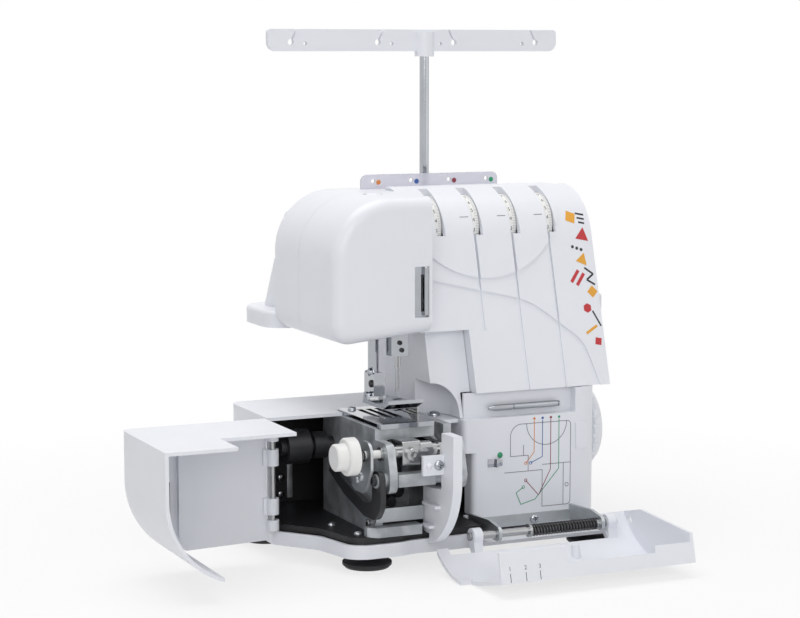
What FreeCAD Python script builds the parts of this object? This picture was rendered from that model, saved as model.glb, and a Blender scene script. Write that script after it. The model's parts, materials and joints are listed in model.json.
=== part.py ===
"""Serger (overlock) machine as an assembly of separate pieces, in millimetres.

X runs to the operator's right, Y to the back and Z up. The origin lies on the table, under the middle of the
machine as it stands open: the side door swung out to the left, the looper cover tilted down to the front.
The door and the looper cover are drawn closed, where they have to fit, and then turned to their open places.
"""
import FreeCAD, Part
import math
import os
import Sketcher
from FreeCAD import Placement, Rotation, Vector

SIZES = {
    # Walls and fits
    "wall": 2.5,
    "seam": 0.4,
    "running": 0.05,
    "clearance": 0.5,
    # Feet and base pan
    "foot_height": 12,
    "foot_radius": 18,
    "foot_neck": 11,
    "foot_x": -48,
    "foot_y": -27,
    "foot_right_x": 137,
    "foot_back_x": -84,
    "foot_back_y": 83,
    "base_height": 10,
    "base_left": -104,
    "base_right": 152,
    "base_front": -52,
    "base_back": 98,
    "floor_thick": 5,
    # Bed and the closed outline of the lower covers
    "bed_top": 106,
    "bed_left": -108,
    "bed_back": 95,
    "cover_front": -101,
    "cover_knee": 29.4,
    "cover_curve": 60,
    "cover_foot_y": -60,
    "cover_foot_z": 14.5,
    # Side door
    "hinge_x": -106,
    "hinge_y": 11,
    "hinge_pin": 2.5,
    "hinge_knuckle": 4.5,
    "door_offset": 5,
    "door_right": -12.5,
    "door_corner": 8,
    "door_open": 90,
    "latch_low": 40,
    "latch_high": 66,
    # Looper cover
    "cover_left": -4,
    "cover_right": 150,
    "cover_open": 76,
    "cover_end_z": 38,
    "cover_lip": 21,
    "cover_lip_right": 48,
    "cover_rim": 10,
    "cover_rim_right": 118,
    "cover_corner_rim": 15,
    "cover_post_x": 68,
    "cover_post_gap": 23,
    "cover_post_z": 40,
    "cover_dish_x": 131,
    "cover_dish_z": 60,
    "cover_dish_radius": 15,
    "tongue_reach": 8,
    "tongue_low": 24,
    "tongue_top": 58,
    "rod_y": -67,
    "rod_z": 24,
    "rod_radius": 3,
    "rod_slide": 8,
    "knuckle_x": 16,
    "knuckle_width": 7,
    "ear_left": 36,
    "ear_right": 121,
    "ear_thick": 2.5,
    "spring_wire": 1.2,
    "spring_turns": 22,
    "spring_room": 57,
    # Needle plate and looper bed
    "plate_left": -48,
    "plate_right": -3,
    "plate_front": -49,
    "plate_back": 29,
    "plate_thick": 3.5,
    "plate_raise": 1,
    "bed_block_left": -50,
    "bed_block_right": 10,
    "bed_block_front": -46,
    "bed_block_back": 50,
    "bed_leg": 6,
    "bed_block_roof": 8,
    # Drive
    "shaft_y": 33,
    "shaft_z": 80,
    "shaft_radius": 6,
    "wheel_radius": 36,
    "wheel_width": 13,
    "wheel_gap": 1.5,
    "grip_notch": 1.6,
    "grip_count": 30,
    "pulley_radius": 25,
    "pulley_x": 118,
    "pulley_width": 13,
    "motor_y": 62,
    "motor_z": 52,
    "motor_radius": 23,
    "motor_shaft": 4,
    "motor_pulley": 8,
    "belt_thick": 1.6,
    # Cast frame
    "upright_left": 48,
    "upright_right": 96,
    "upright_thick": 7,
    "arm_bottom": 190,
    "arm_top": 204,
    "arm_left": -55,
    # Head and upper housings
    "head_left": -73,
    "head_right": 4,
    "head_front": -27,
    "head_split": 40,
    "head_bottom": 160,
    "head_rise": 8,
    "head_top": 266,
    "head_crown": 45,
    "head_round": 9,
    "body_right": 157,
    "body_back": 88,
    "body_top": 266,
    "body_split": 58,
    "panel_foot_y": -19,
    "panel_foot_z": 119,
    "panel_top_y": 21.7,
    "panel_curve": 46,
    "panel_step_x": 44,
    "panel_step_z": 165,
    "dome_x": 65,
    "dome_z": 272,
    "dome_radius": 70,
    "dome_raise": 2.5,
    "swoosh_raise": 1.2,
    "swoosh_left_z": 205,
    "swoosh_middle_z": 184,
    "swoosh_right_z": 152,
    "base_panel_y": -22,
    "base_panel_left": 40,
    "base_panel_low": 17,
    "base_block_left": 32,
    "base_block_low": 75,
    "base_side": 149,
    "base_corner": 20,
    "ledge_z": 100,
    "ledge_depth": 8,
    "ledge_right": 126,
    "column_left": 12,
    "column_back": 43,
    "column_set_back": 10,
    "cove_radius": 21,
    # Power inlet and switch
    "inlet_y": 62,
    "inlet_width": 22,
    "inlet_z": 28,
    "inlet_height": 13,
    "inlet_depth": 17,
    "switch_y": 38,
    "switch_width": 16,
    # Tension dials
    "dial_first_x": 29,
    "dial_pitch": 31.3,
    "dial_radius": 24,
    "dial_width": 6.4,
    "dial_y": 39.6,
    "dial_z": 238,
    "dial_axle": 3,
    "guide_pitch": 32,
    # Needle bar and presser
    "needle_x": -10,
    "needle_y": 3,
    "needle_gap": 2.5,
    "needle_tip": 120,
    "needle_bar": 3.5,
    "clamp_low": 148,
    "clamp_high": 166,
    "presser_x": -23,
    "presser_y": 18,
    "presser_bar": 4,
    "foot_lift": 4.7,
    "lifter_axle": 4,
    "foot_thick": 3,
    # Knives and loopers
    "knife_y": -64,
    "knife_z": 70,
    "knife_shaft": 5,
    "holder_y": -58,
    "holder_z": 88,
    "holder_shaft": 5,
    "lever_thick": 4,
    "cut_dial_left": -87,
    "cut_dial_radius": 13.5,
    "cut_grip_radius": 9.7,
    "cut_dial_width": 16,
    "bracket_set_back": 6,
    "cut_screw": 3,
    "looper_shaft": 4,
    "looper_z": 46,
    "lower_looper_x": -30,
    "upper_looper_x": -8,
    # Spool stand and antenna
    "tray_x": 68,
    "tray_left": -78,
    "tray_right": 218,
    "tray_corner": 16,
    "tray_back": 155,
    "tray_low": 161,
    "tray_height": 13,
    "spool_y": 123,
    "spool_pitch": 77.5,
    "spool_cone_base": 18.5,
    "spool_cone_tip": 11,
    "spool_pin": 3.2,
    "spool_pin_top": 247,
    "spool_cone_top": 212,
    "pole_radius": 3.75,
    "tube_top": 250,
    "bar_half": 125,
    "bar_shift": -8,
    "bar_low": 370,
    "bar_height": 17,
    "bar_thick": 4,
    "eye_outer": 106,
    "eye_inner": 33,
}

doc = FreeCAD.newDocument("Serger")
sheet = doc.addObject("Spreadsheet::Sheet", "Sizes")
for row, (alias, number) in enumerate(SIZES.items(), start=1):
    sheet.set("A%d" % row, alias)
    sheet.set("B%d" % row, str(number))
    sheet.setAlias("B%d" % row, alias)
doc.recompute()

NODES = []


class Size:
    """A length that remembers the sheet expression behind it."""

    def __init__(self, text, number):
        self.text = text
        self.number = number

    def joined(self, sign, other, number, swap=False):
        first, second = (text_of(other), self.text) if swap else (self.text, text_of(other))
        return Size("(%s %s %s)" % (first, sign, second), number)

    def __add__(self, other):
        return self.joined("+", other, self.number + float(other))

    def __radd__(self, other):
        return self.joined("+", other, self.number + float(other), swap=True)

    def __sub__(self, other):
        return self.joined("-", other, self.number - float(other))

    def __rsub__(self, other):
        return self.joined("-", other, float(other) - self.number, swap=True)

    def __mul__(self, other):
        return self.joined("*", other, self.number * float(other))

    __rmul__ = __mul__

    def __truediv__(self, other):
        return self.joined("/", other, self.number / float(other))

    def __neg__(self):
        return Size("(0 - %s)" % self.text, -self.number)

    def __float__(self):
        return float(self.number)


class Sheet:
    """Gives each aliased cell as a Size, such as S.wall."""

    def __getattr__(self, alias):
        return Size("Sizes." + alias, sheet.get(alias))


S = Sheet()


def text_of(length):
    return length.text if isinstance(length, Size) else "(%.6f)" % length


def bind(thing, **lengths):
    """Ties properties to the sheet."""
    for name, length in lengths.items():
        thing.setExpression(name, text_of(length))


def move(thing, x, y, z):
    for axis, length in zip("xyz", (x, y, z)):
        thing.setExpression("Placement.Base." + axis, text_of(length))


TURN_TO = {
    "x": Rotation(Vector(0, 1, 0), 90),
    "y": Rotation(Vector(1, 0, 0), -90),
    "z": Rotation(),
}
PLANE_OF = {"x": "YZ_Plane", "y": "XZ_Plane", "z": "XY_Plane"}


def box(x0, x1, y0, y1, z0, z1):
    block = doc.addObject("Part::Box", "Box")
    bind(block, Length=x1 - x0, Width=y1 - y0, Height=z1 - z0)
    move(block, x0, y0, z0)
    return block


def on_axis(axis, along, across, height):
    """Point at a distance along an axis, with the two other coordinates in X, Y, Z order."""
    return {"x": (along, across, height), "y": (across, along, height), "z": (across, height, along)}[axis]


def rod(axis, radius, start, end, across, height):
    """Cylinder along an axis."""
    bar = doc.addObject("Part::Cylinder", "Rod")
    bind(bar, Radius=radius, Height=end - start)
    bar.Placement = Placement(Vector(), TURN_TO[axis])
    move(bar, *on_axis(axis, start, across, height))
    return bar


def cone(axis, radius_start, radius_end, start, end, across, height):
    taper = doc.addObject("Part::Cone", "Cone")
    bind(taper, Radius1=radius_start, Radius2=radius_end, Height=end - start)
    taper.Placement = Placement(Vector(), TURN_TO[axis])
    move(taper, *on_axis(axis, start, across, height))
    return taper


def fuse(*things):
    union = doc.addObject("Part::MultiFuse", "Union")
    union.Shapes = list(things)
    union.Refine = True
    return union


def cut(base, *tools):
    rest = doc.addObject("Part::Cut", "Rest")
    rest.Base = base
    rest.Tool = tools[0] if len(tools) == 1 else fuse(*tools)
    rest.Refine = True
    return rest


def common(first, second):
    shared = doc.addObject("Part::MultiCommon", "Shared")
    shared.Shapes = [first, second]
    shared.Refine = True
    return shared


def group(*things):
    """Separate solids that share one node."""
    holder = doc.addObject("Part::Compound", "Group")
    holder.Links = list(things)
    return holder


def plane_of(body, axis):
    return next(part for part in body.Origin.OriginFeatures if part.Role == PLANE_OF[axis])


def corner_cut(before, corner, after, radius):
    """Tangent points and the middle of the arc that rounds a corner."""
    here = Vector(corner[0], corner[1], 0)
    back = (Vector(before[0], before[1], 0) - here).normalize()
    on = (Vector(after[0], after[1], 0) - here).normalize()
    half = back.getAngle(on) / 2
    reach = radius / math.tan(half)
    centre = here + (back + on).normalize() * (radius / math.sin(half))
    return here + back * reach, centre, here + on * reach


def add_outline(sketch, outline):
    """Closed outline of corners (u, v) or (u, v, radius), each coordinate tied to the sheet."""
    spots = [(float(corner[0]), float(corner[1])) for corner in outline]
    count = len(outline)
    ends = []
    for index, corner in enumerate(outline):
        if len(corner) == 2:
            here = Vector(spots[index][0], spots[index][1], 0)
            ends.append((here, None, here))
        else:
            after = spots[(index + 1) % count]
            ends.append(corner_cut(spots[index - 1], spots[index], after, float(corner[2])))
    lines = []
    for index in range(count):
        start = ends[index][2]
        end = ends[(index + 1) % count][0]
        lines.append(sketch.addGeometry(Part.LineSegment(start, end), False))
    for index, corner in enumerate(outline):
        line_in = lines[index - 1]
        line_out = lines[index]
        if len(corner) == 2:
            sketch.addConstraint(Sketcher.Constraint("Coincident", line_in, 2, line_out, 1))
            hold_point(sketch, line_out, 1, corner)
            continue
        first, centre, last = ends[index]
        sharp = Vector(spots[index][0], spots[index][1], 0)
        middle = centre + (sharp - centre).normalize() * float(corner[2])
        forward = (middle - first).cross(last - middle).z > 0
        curve = Part.Arc(first, middle, last) if forward else Part.Arc(last, middle, first)
        arc = sketch.addGeometry(curve, False)
        sketch.addConstraint(Sketcher.Constraint("Tangent", line_in, 2, arc, 1 if forward else 2))
        sketch.addConstraint(Sketcher.Constraint("Tangent", line_out, 1, arc, 2 if forward else 1))
        radius = sketch.addConstraint(Sketcher.Constraint("Radius", arc, float(corner[2])))
        sketch.setExpression("Constraints[%d]" % radius, text_of(corner[2]))
        tip = sketch.addGeometry(Part.Point(sharp), True)
        sketch.addConstraint(Sketcher.Constraint("PointOnObject", tip, 1, line_in))
        sketch.addConstraint(Sketcher.Constraint("PointOnObject", tip, 1, line_out))
        hold_point(sketch, tip, 1, corner)


def hold_point(sketch, geometry, end, corner):
    for kind, length in (("DistanceX", corner[0]), ("DistanceY", corner[1])):
        place = sketch.addConstraint(Sketcher.Constraint(kind, -1, 1, geometry, end, float(length)))
        sketch.setExpression("Constraints[%d]" % place, text_of(length))


def prism(axis, outline, start, end, *holes):
    """Pad of an outline along an axis. Outlines are (y, z) along x, (x, z) along y and (x, y) along z."""
    body = doc.addObject("PartDesign::Body", "Prism")
    sketch = body.newObject("Sketcher::SketchObject", "Outline")
    sketch.AttachmentSupport = (plane_of(body, axis), [""])
    sketch.MapMode = "FlatFace"
    bind(sketch, **{"AttachmentOffset.Base.z": -end if axis == "y" else start})
    for loop in (outline,) + holes:
        add_outline(sketch, loop)
    pad = body.newObject("PartDesign::Pad", "Pad")
    pad.Profile = sketch
    bind(pad, Length=end - start)
    sketch.Visibility = False
    doc.recompute()
    return body


def turned(axis, outline, x, y, z):
    """Revolved outline of (radius, along) corners, laid on an axis through a point."""
    body = doc.addObject("PartDesign::Body", "Turned")
    sketch = body.newObject("Sketcher::SketchObject", "Outline")
    sketch.AttachmentSupport = (plane_of(body, "y"), [""])
    sketch.MapMode = "FlatFace"
    add_outline(sketch, outline)
    spin = body.newObject("PartDesign::Revolution", "Revolution")
    spin.Profile = sketch
    spin.ReferenceAxis = (sketch, ["V_Axis"])
    spin.Angle = 360
    body.Placement = Placement(Vector(), TURN_TO[axis])
    move(body, x, y, z)
    doc.recompute()
    return body


def edge_points(edge):
    low, high = edge.ParameterRange
    return [edge.valueAt(low + (high - low) * share) for share in (0.02, 0.5, 0.98)]


def edges_at(shape, **planes):
    """Names of the edges that lie in every plane given, such as x=3."""
    names = []
    for index, edge in enumerate(shape.Edges, start=1):
        points = edge_points(edge)
        if all(abs(getattr(point, axis) - float(place)) < 0.05
               for axis, place in planes.items() for point in points):
            names.append("Edge%d" % index)
    return names


def round_body(body, radius, names):
    """Fillet on named edges of a body's last feature."""
    base = body.Tip
    fillet = body.newObject("PartDesign::Fillet", "Fillet")
    fillet.Base = (base, names)
    bind(fillet, Radius=radius)
    doc.recompute()
    return body


def node(label, thing):
    """Names a finished piece."""
    thing.Label = label
    NODES.append(thing)
    return thing


def coil(radius, wire, length, turns):
    """Helical spring along +Z from the origin: a round wire swept along biarcs of a quarter turn."""
    rise = length - 2 * wire
    steps = 4 * turns
    points, ways = [], []
    for step in range(steps + 1):
        angle = step * math.pi / 2
        points.append(Vector(radius * math.cos(angle), radius * math.sin(angle), wire + rise * step / steps))
        climb = rise / steps / (math.pi / 2)
        ways.append(Vector(-radius * math.sin(angle), radius * math.cos(angle), climb).normalize())
    edges = []
    for first, second, way_in, way_out in zip(points, points[1:], ways, ways[1:]):
        edges += biarc(first, second, way_in, way_out)
    path = Part.Wire(edges)
    rim = Part.Wire([Part.Circle(points[0], ways[0], wire / 2).toShape()])
    print("coil of %d turns, least gap between turns %.2f mm" % (turns, least_gap(path, wire, turns)))
    return path.makePipeShell([rim], True, False)


def least_gap(path, wire, turns):
    """Least space between the turns of a coil, measured between points along the middle of its wire."""
    per_turn = 48
    points = path.discretize(Number=per_turn * turns + 1)
    least = min(
        (there - here).Length
        for index, here in enumerate(points)
        for there in points[index + per_turn // 2:index + 2 * per_turn]
    )
    return least - wire


def biarc(first, second, way_in, way_out):
    """Two arcs from one point to the next with the given directions at the ends."""
    chord = second - first
    ways = way_in + way_out
    bend = 2 * (1 - way_in.dot(way_out))
    reach = (math.sqrt(chord.dot(ways) ** 2 + bend * chord.dot(chord)) - chord.dot(ways)) / bend
    joint = (first + second + (way_in - way_out) * reach) * 0.5
    return [arc_from(first, joint, way_in), arc_from(second, joint, -way_out, True)]


def arc_from(start, end, way, reverse=False):
    chord = end - start
    along = Vector(chord).normalize()
    aside = (way - along * way.dot(along)).normalize()
    height = chord.Length / 2 * math.tan(way.getAngle(along) / 2)
    middle = start + chord * 0.5 + aside * height
    return Part.Arc(end, middle, start).toShape() if reverse else Part.Arc(start, middle, end).toShape()


BASE_TOP = S.foot_height + S.base_height
FLOOR_TOP = BASE_TOP + S.floor_thick
PLATE_TOP = S.bed_top + S.plate_raise
PLATE_LOW = PLATE_TOP - S.plate_thick


# Feet and base pan

def base_outline(inset):
    """Plan of the base, drawn in at the front left where the door swings, and moved inwards by an inset."""
    return [
        (S.base_left + inset, S.base_back - inset, 10),
        (S.base_left + inset, S.hinge_y + 6 + inset, 5),
        (S.foot_x - 32 + inset, S.foot_y + 13 + inset, 20),
        (S.foot_x - 24 + inset, S.foot_y - 23 + inset, 14),
        (S.foot_x - 12, S.base_front - 3 + inset, 12),
        (S.foot_x + 14, S.base_front - 3 + inset, 12),
        (S.foot_x + 26, S.base_front + inset, 12),
        (S.base_right - inset, S.base_front + inset, 10),
        (S.base_right - inset, S.base_back - inset, 10),
    ]


def make_base():
    pan = prism("z", base_outline(0), S.foot_height, BASE_TOP)
    pad = pan.Tip
    top = next(
        index for index, face in enumerate(pad.Shape.Faces, start=1)
        if abs(face.CenterOfMass.z - float(BASE_TOP)) < 0.01
    )
    tray = pan.newObject("PartDesign::Thickness", "Tray")
    tray.Base = (pad, ["Face%d" % top])
    tray.Reversed = True
    tray.Join = 1
    bind(tray, Value=S.wall)
    pan.Tip = tray
    doc.recompute()
    bay = hinge_bay(S.foot_height + S.wall, BASE_TOP + 1)
    bay_left = S.ear_left - 2
    bay_side = box(bay_left - S.wall, bay_left, S.base_front + 1, S.base_panel_y + S.wall,
                   S.foot_height + 1, BASE_TOP)
    node("base_pan", fuse(cut(pan, bay), bay_side))

    foot_profile = [
        (0, 0),
        (S.foot_radius - 2, 0),
        (S.foot_radius, 2),
        (S.foot_radius, 4),
        (S.foot_neck, S.foot_height - 5),
        (S.foot_neck, S.foot_height),
        (0, S.foot_height),
    ]
    spots = [
        (S.foot_x, S.foot_y),
        (S.foot_right_x, S.foot_y),
        (S.foot_back_x, S.foot_back_y),
        (S.foot_right_x, S.foot_back_y),
    ]
    node("rubber_feet", group(*[turned("z", foot_profile, x, y, 0) for x, y in spots]))


def hinge_bay(low, high):
    """Room in front of the base panel and round its corner, where the looper cover's hinge sits."""
    front = S.base_front - 4
    right = S.base_right + 1
    flat = box(S.ear_left - 2, right, front, S.base_panel_y + 6.5, low, high)
    corner = box(S.base_side - S.base_corner - 2, right, front, S.base_panel_y + S.base_corner + 2, low, high)
    return fuse(flat, corner)


# Cast frame: floor, uprights, rear wall, arm, and the looper bed that stands on the floor

def make_frame():
    room = box(S.base_left, S.base_side - S.wall - 3, S.base_front - 4, S.bed_back - 3.5, BASE_TOP, FLOOR_TOP)
    slab = common(prism("z", base_outline(3), BASE_TOP, FLOOR_TOP), room)
    floor = cut(slab, hinge_bay(BASE_TOP - 1, FLOOR_TOP + 1))
    rear = box(S.base_left + 6, S.upright_right + S.upright_thick, S.bed_back - 7.5, S.bed_back - 3.5,
               FLOOR_TOP, S.bed_top - 6)
    uprights = [
        box(left, left + S.upright_thick, S.shaft_y - 13, S.body_back - 4, FLOOR_TOP, S.arm_top)
        for left in (S.upright_left, S.upright_right)
    ]
    arm = box(S.arm_left, S.upright_right + 1, S.presser_y + 2, S.body_back - 8, S.arm_bottom, S.arm_top)
    head = box(S.arm_left, S.needle_x + 10, S.needle_y - 15, S.presser_y + 3, S.arm_bottom, S.arm_top)
    guide_front = S.needle_y - 15
    guide_back = S.presser_y + 14
    guide_low = S.arm_bottom - 18
    guide = box(S.presser_x - 17, S.needle_x + 10, guide_front, guide_back, guide_low, guide_low + 6)
    web = box(S.presser_x - 21, S.presser_x - 16, guide_front, guide_back, guide_low, S.arm_bottom + 1)
    solid = fuse(floor, rear, arm, head, guide, web, *uprights)
    shaft_bore = rod("x", S.shaft_radius + S.running, S.upright_left - 1,
                     S.upright_right + S.upright_thick + 1,
                     S.shaft_y, S.shaft_z)
    motor_bore = rod("x", S.motor_shaft + 2, S.upright_right - 1, S.upright_right + S.upright_thick + 1,
                     S.motor_y, S.motor_z)
    needle_bore = rod("z", S.needle_bar + S.running, S.arm_bottom - 20, S.arm_top + 1, S.needle_x, S.needle_y)
    presser_bore = rod("z", S.presser_bar + S.running, S.arm_bottom - 20, S.arm_top + 1, S.presser_x,
                       S.presser_y)
    window = box(S.upright_left - 1, S.upright_left + S.upright_thick + 1, S.motor_y - 12, S.motor_y + 12,
                 S.motor_z + 60, S.arm_bottom - 20)
    node("frame_casting", cut(solid, shaft_bore, motor_bore, needle_bore, presser_bore, window))

    left = S.bed_block_left
    right = S.bed_block_right
    front = S.bed_block_front
    roof = PLATE_LOW - S.bed_block_roof
    arch = prism("y", [
        (left, FLOOR_TOP),
        (left + S.bed_leg, FLOOR_TOP),
        (left + S.bed_leg, roof, 6),
        (right - S.bed_leg, roof),
        (right - S.bed_leg, FLOOR_TOP),
        (right, FLOOR_TOP),
        (right, PLATE_LOW),
        (left, PLATE_LOW),
    ], front, S.bed_block_back)
    cross = box(left + S.bed_leg - 1, right - S.bed_leg + 1, S.needle_y + 11, S.needle_y + 17, FLOOR_TOP,
                S.shaft_z - 10)
    lugs = [
        prism("x", [
            (front + 1, S.knife_z - 14),
            (S.knife_y - 8, S.knife_z - 8, 7),
            (S.knife_y - 8, S.knife_z + 5, 5),
            (S.holder_y - 8, S.holder_z + 8, 7),
            (front + 1, S.holder_z + 8),
        ], start, start + S.bed_leg)
        for start in (left, right - S.bed_leg)
    ]
    toe = prism("z", [
        (left - 8, front + 1),
        (left - 8, front - 4),
        (left - 2, front - 10),
        (S.door_right - 5, front - 10),
        (S.door_right - 5, front + 1),
    ], FLOOR_TOP, FLOOR_TOP + 7)
    solid = fuse(arch, cross, toe, *lugs)
    opening = box(left + 8, right - S.bed_leg - 0.2, S.plate_front + 11, S.plate_back - 5, roof - 1,
                  PLATE_LOW + 1)
    slot = box(S.plate_right - S.clearance, right - S.bed_leg - 0.2, front - 1, S.plate_front + 12,
               roof - 7, PLATE_LOW + 1)
    shaft = rod("x", S.shaft_radius + S.running, left - 1, right + 1, S.shaft_y, S.shaft_z)
    knife = rod("x", S.knife_shaft + S.running, left - 1, right + 1, S.knife_y, S.knife_z)
    holder = rod("x", S.holder_shaft + S.running, left - 1, right + 1, S.holder_y, S.holder_z)
    loopers = [
        rod("y", S.looper_shaft + S.running, S.needle_y + 10, S.needle_y + 18, x, S.looper_z)
        for x in (S.lower_looper_x, S.upper_looper_x)
    ]
    node("looper_bed", cut(solid, opening, slot, shaft, knife, holder, *loopers))

    guard_low = S.looper_z - 10
    node("guard_plate", box(left, S.door_right, front - 2, front, guard_low, guard_low + 10))


# Bed cover with its left and back skirts, and the lugs that hold the door's hinge pin

def make_bed_cover():
    front = S.hinge_y + S.door_offset + S.clearance
    top_low = S.bed_top - S.wall
    inner_back = S.plate_back + S.seam
    top = prism("z", [
        (S.bed_left, front),
        (S.plate_left - S.seam, front),
        (S.plate_left - S.seam, inner_back),
        (S.base_block_left, inner_back),
        (S.base_block_left, S.bed_back),
        (S.bed_left, S.bed_back, 10),
    ], top_low, S.bed_top)
    skirt = prism("z", [
        (S.bed_left, front),
        (S.bed_left + S.wall, front),
        (S.bed_left + S.wall, S.bed_back - S.wall, 7.5),
        (S.upright_left, S.bed_back - S.wall),
        (S.upright_left, S.bed_back),
        (S.bed_left, S.bed_back, 10),
    ], BASE_TOP, top_low)
    cove_left = S.bed_block_right + S.clearance
    cove_right = S.base_block_left - S.seam
    cove_low = S.ledge_z - S.wall
    cove_floor = box(cove_left, cove_right, S.base_panel_y + S.ledge_depth, inner_back + S.wall, cove_low,
                     S.ledge_z)
    riser = box(cove_left, cove_right, inner_back, inner_back + S.wall, cove_low, S.bed_top)
    lugs = []
    for low in (BASE_TOP + 2, S.bed_top - 16):
        lugs.append(rod("z", S.hinge_knuckle, low, low + 8, S.hinge_x, S.hinge_y))
        lugs.append(box(S.bed_left, S.bed_left + S.wall, S.hinge_y, front + 1, low, low + 8))
    bore = rod("z", S.hinge_pin, BASE_TOP - 1, top_low - 1, S.hinge_x, S.hinge_y)
    node("bed_cover", cut(fuse(top, skirt, cove_floor, riser, *lugs), bore))
    node("door_pin", rod("z", S.hinge_pin, BASE_TOP + 1, S.bed_top - 7, S.hinge_x, S.hinge_y))


def make_needle_plate():
    notch_front = S.needle_y - 19
    notch_back = S.needle_y + 5
    notch_left = S.plate_right - 5.5
    plate = prism("z", [
        (S.plate_left, S.plate_front, 4),
        (S.plate_right, S.plate_front, 4),
        (S.plate_right, notch_front),
        (notch_left, notch_front),
        (notch_left, notch_back),
        (S.plate_right, notch_back),
        (S.plate_right, S.plate_back, 4),
        (S.plate_left, S.plate_back, 4),
    ], PLATE_LOW, PLATE_TOP)
    slots = [
        box(x - 0.6, x + 3.6, S.needle_y - 29, S.needle_y + 15, PLATE_LOW - 1, PLATE_TOP + 1)
        for x in feed_rows()
    ]
    hole = box(S.needle_x - 3, S.needle_x + 1.2 + S.needle_gap / 2 - 0.6, S.needle_y - 2, S.needle_y + 2.5,
               PLATE_LOW - 1, PLATE_TOP + 1)
    node("needle_plate", cut(plate, hole, *slots))


def feed_rows():
    """Left edges of the three rows of feed teeth."""
    return [S.plate_left + 12, S.plate_left + 19, S.plate_left + 26]


# Lower covers, drawn closed

def cover_lean():
    """Angle of the covers' lower slope against the table."""
    return math.atan2(float(S.cover_knee - S.cover_foot_z), float(S.cover_foot_y - S.cover_front))


def cover_outline(inset, back, low):
    """Side view of the closed covers, moved inwards by an inset and ended at a back plane."""
    lean = cover_lean()
    front = S.cover_front + inset
    knee = S.cover_knee + inset * ((1 - math.sin(lean)) / math.cos(lean))
    foot = S.cover_foot_z + inset / math.cos(lean)
    fall = math.tan(lean)
    return [
        (front, S.bed_top - inset),
        (front, knee, S.cover_curve - inset),
        (back, foot + (S.cover_foot_y - back) * fall),
        (back, low),
    ]


def turn_about(thing, point, axis, degrees):
    """Sets a finished piece to its open place."""
    spin = Rotation(axis, degrees)
    thing.Placement = Placement(point - spin.multVec(point), spin)


def make_door():
    left = S.hinge_x - S.door_offset
    near = S.hinge_y - 4
    top_low = S.bed_top - S.wall
    side = [
        (S.cover_front, S.bed_top),
        (S.cover_front, S.cover_knee, S.cover_curve),
        (S.cover_foot_y, S.cover_foot_z),
        (near, S.cover_foot_z + 2),
        (near, S.bed_top),
    ]
    outer = prism("x", side, left, S.door_right)
    names = [n for n in edges_at(outer.Shape, x=left) if on_front(outer.Shape, n)]
    round_body(outer, S.door_corner, names)
    hollow = cover_outline(S.wall, near + 1, S.bed_top - S.wall)
    inner = prism("x", hollow, left + S.wall, S.door_right + 1)
    names = [n for n in edges_at(inner.Shape, x=left + S.wall) if on_front(inner.Shape, n)]
    round_body(inner, S.door_corner - S.wall, names)
    notch = box(S.plate_left - S.clearance, S.door_right + 1, S.plate_front - S.clearance, near + 1,
                top_low - 1, S.bed_top + 1)
    under = box(left + S.wall, S.door_right + 1, S.cover_foot_y, near + 1, S.cover_foot_z - 5, BASE_TOP)
    shell = cut(outer, inner, notch, under)
    knuckles = []
    for low in (BASE_TOP + 14, S.bed_top - 34):
        knuckles.append(rod("z", S.hinge_knuckle, low, low + 12, S.hinge_x, S.hinge_y))
        knuckles.append(box(left, S.hinge_x, near - 3, S.hinge_y, low, low + 12))
    rib = box(left + S.wall - 0.5, left + S.wall + 4, S.cover_front + 40, S.cover_front + 42.5,
              BASE_TOP + 4, top_low + 0.5)
    bore = rod("z", S.hinge_pin + S.running, BASE_TOP, S.bed_top, S.hinge_x, S.hinge_y)
    door = node("side_door", cut(fuse(shell, rib, *knuckles), bore))
    inside = left + S.wall
    plate = box(inside, inside + 2, S.cover_front + 22, S.cover_front + 34, S.latch_low, S.latch_high)
    tongue = box(inside + 2, inside + 12, S.cover_front + 25, S.cover_front + 28, S.latch_low + 6,
                 S.latch_high - 10)
    latch = node("door_latch", fuse(plate, tongue))
    hinge = Vector(float(S.hinge_x), float(S.hinge_y), 0)
    for piece in (door, latch):
        turn_about(piece, hinge, Vector(0, 0, 1), -float(S.door_open))


def on_front(shape, name):
    """True for an edge of the front wall, its curve or its foot, away from the top and the back."""
    points = edge_points(shape.getElement(name))
    low = all(point.y < float(S.cover_foot_y) + 0.1 for point in points)
    flat = all(abs(point.z - points[0].z) < 0.01 for point in points)
    upright_back = all(abs(point.y - float(S.cover_foot_y)) < 0.01 for point in points)
    return low and not flat and not upright_back


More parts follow.
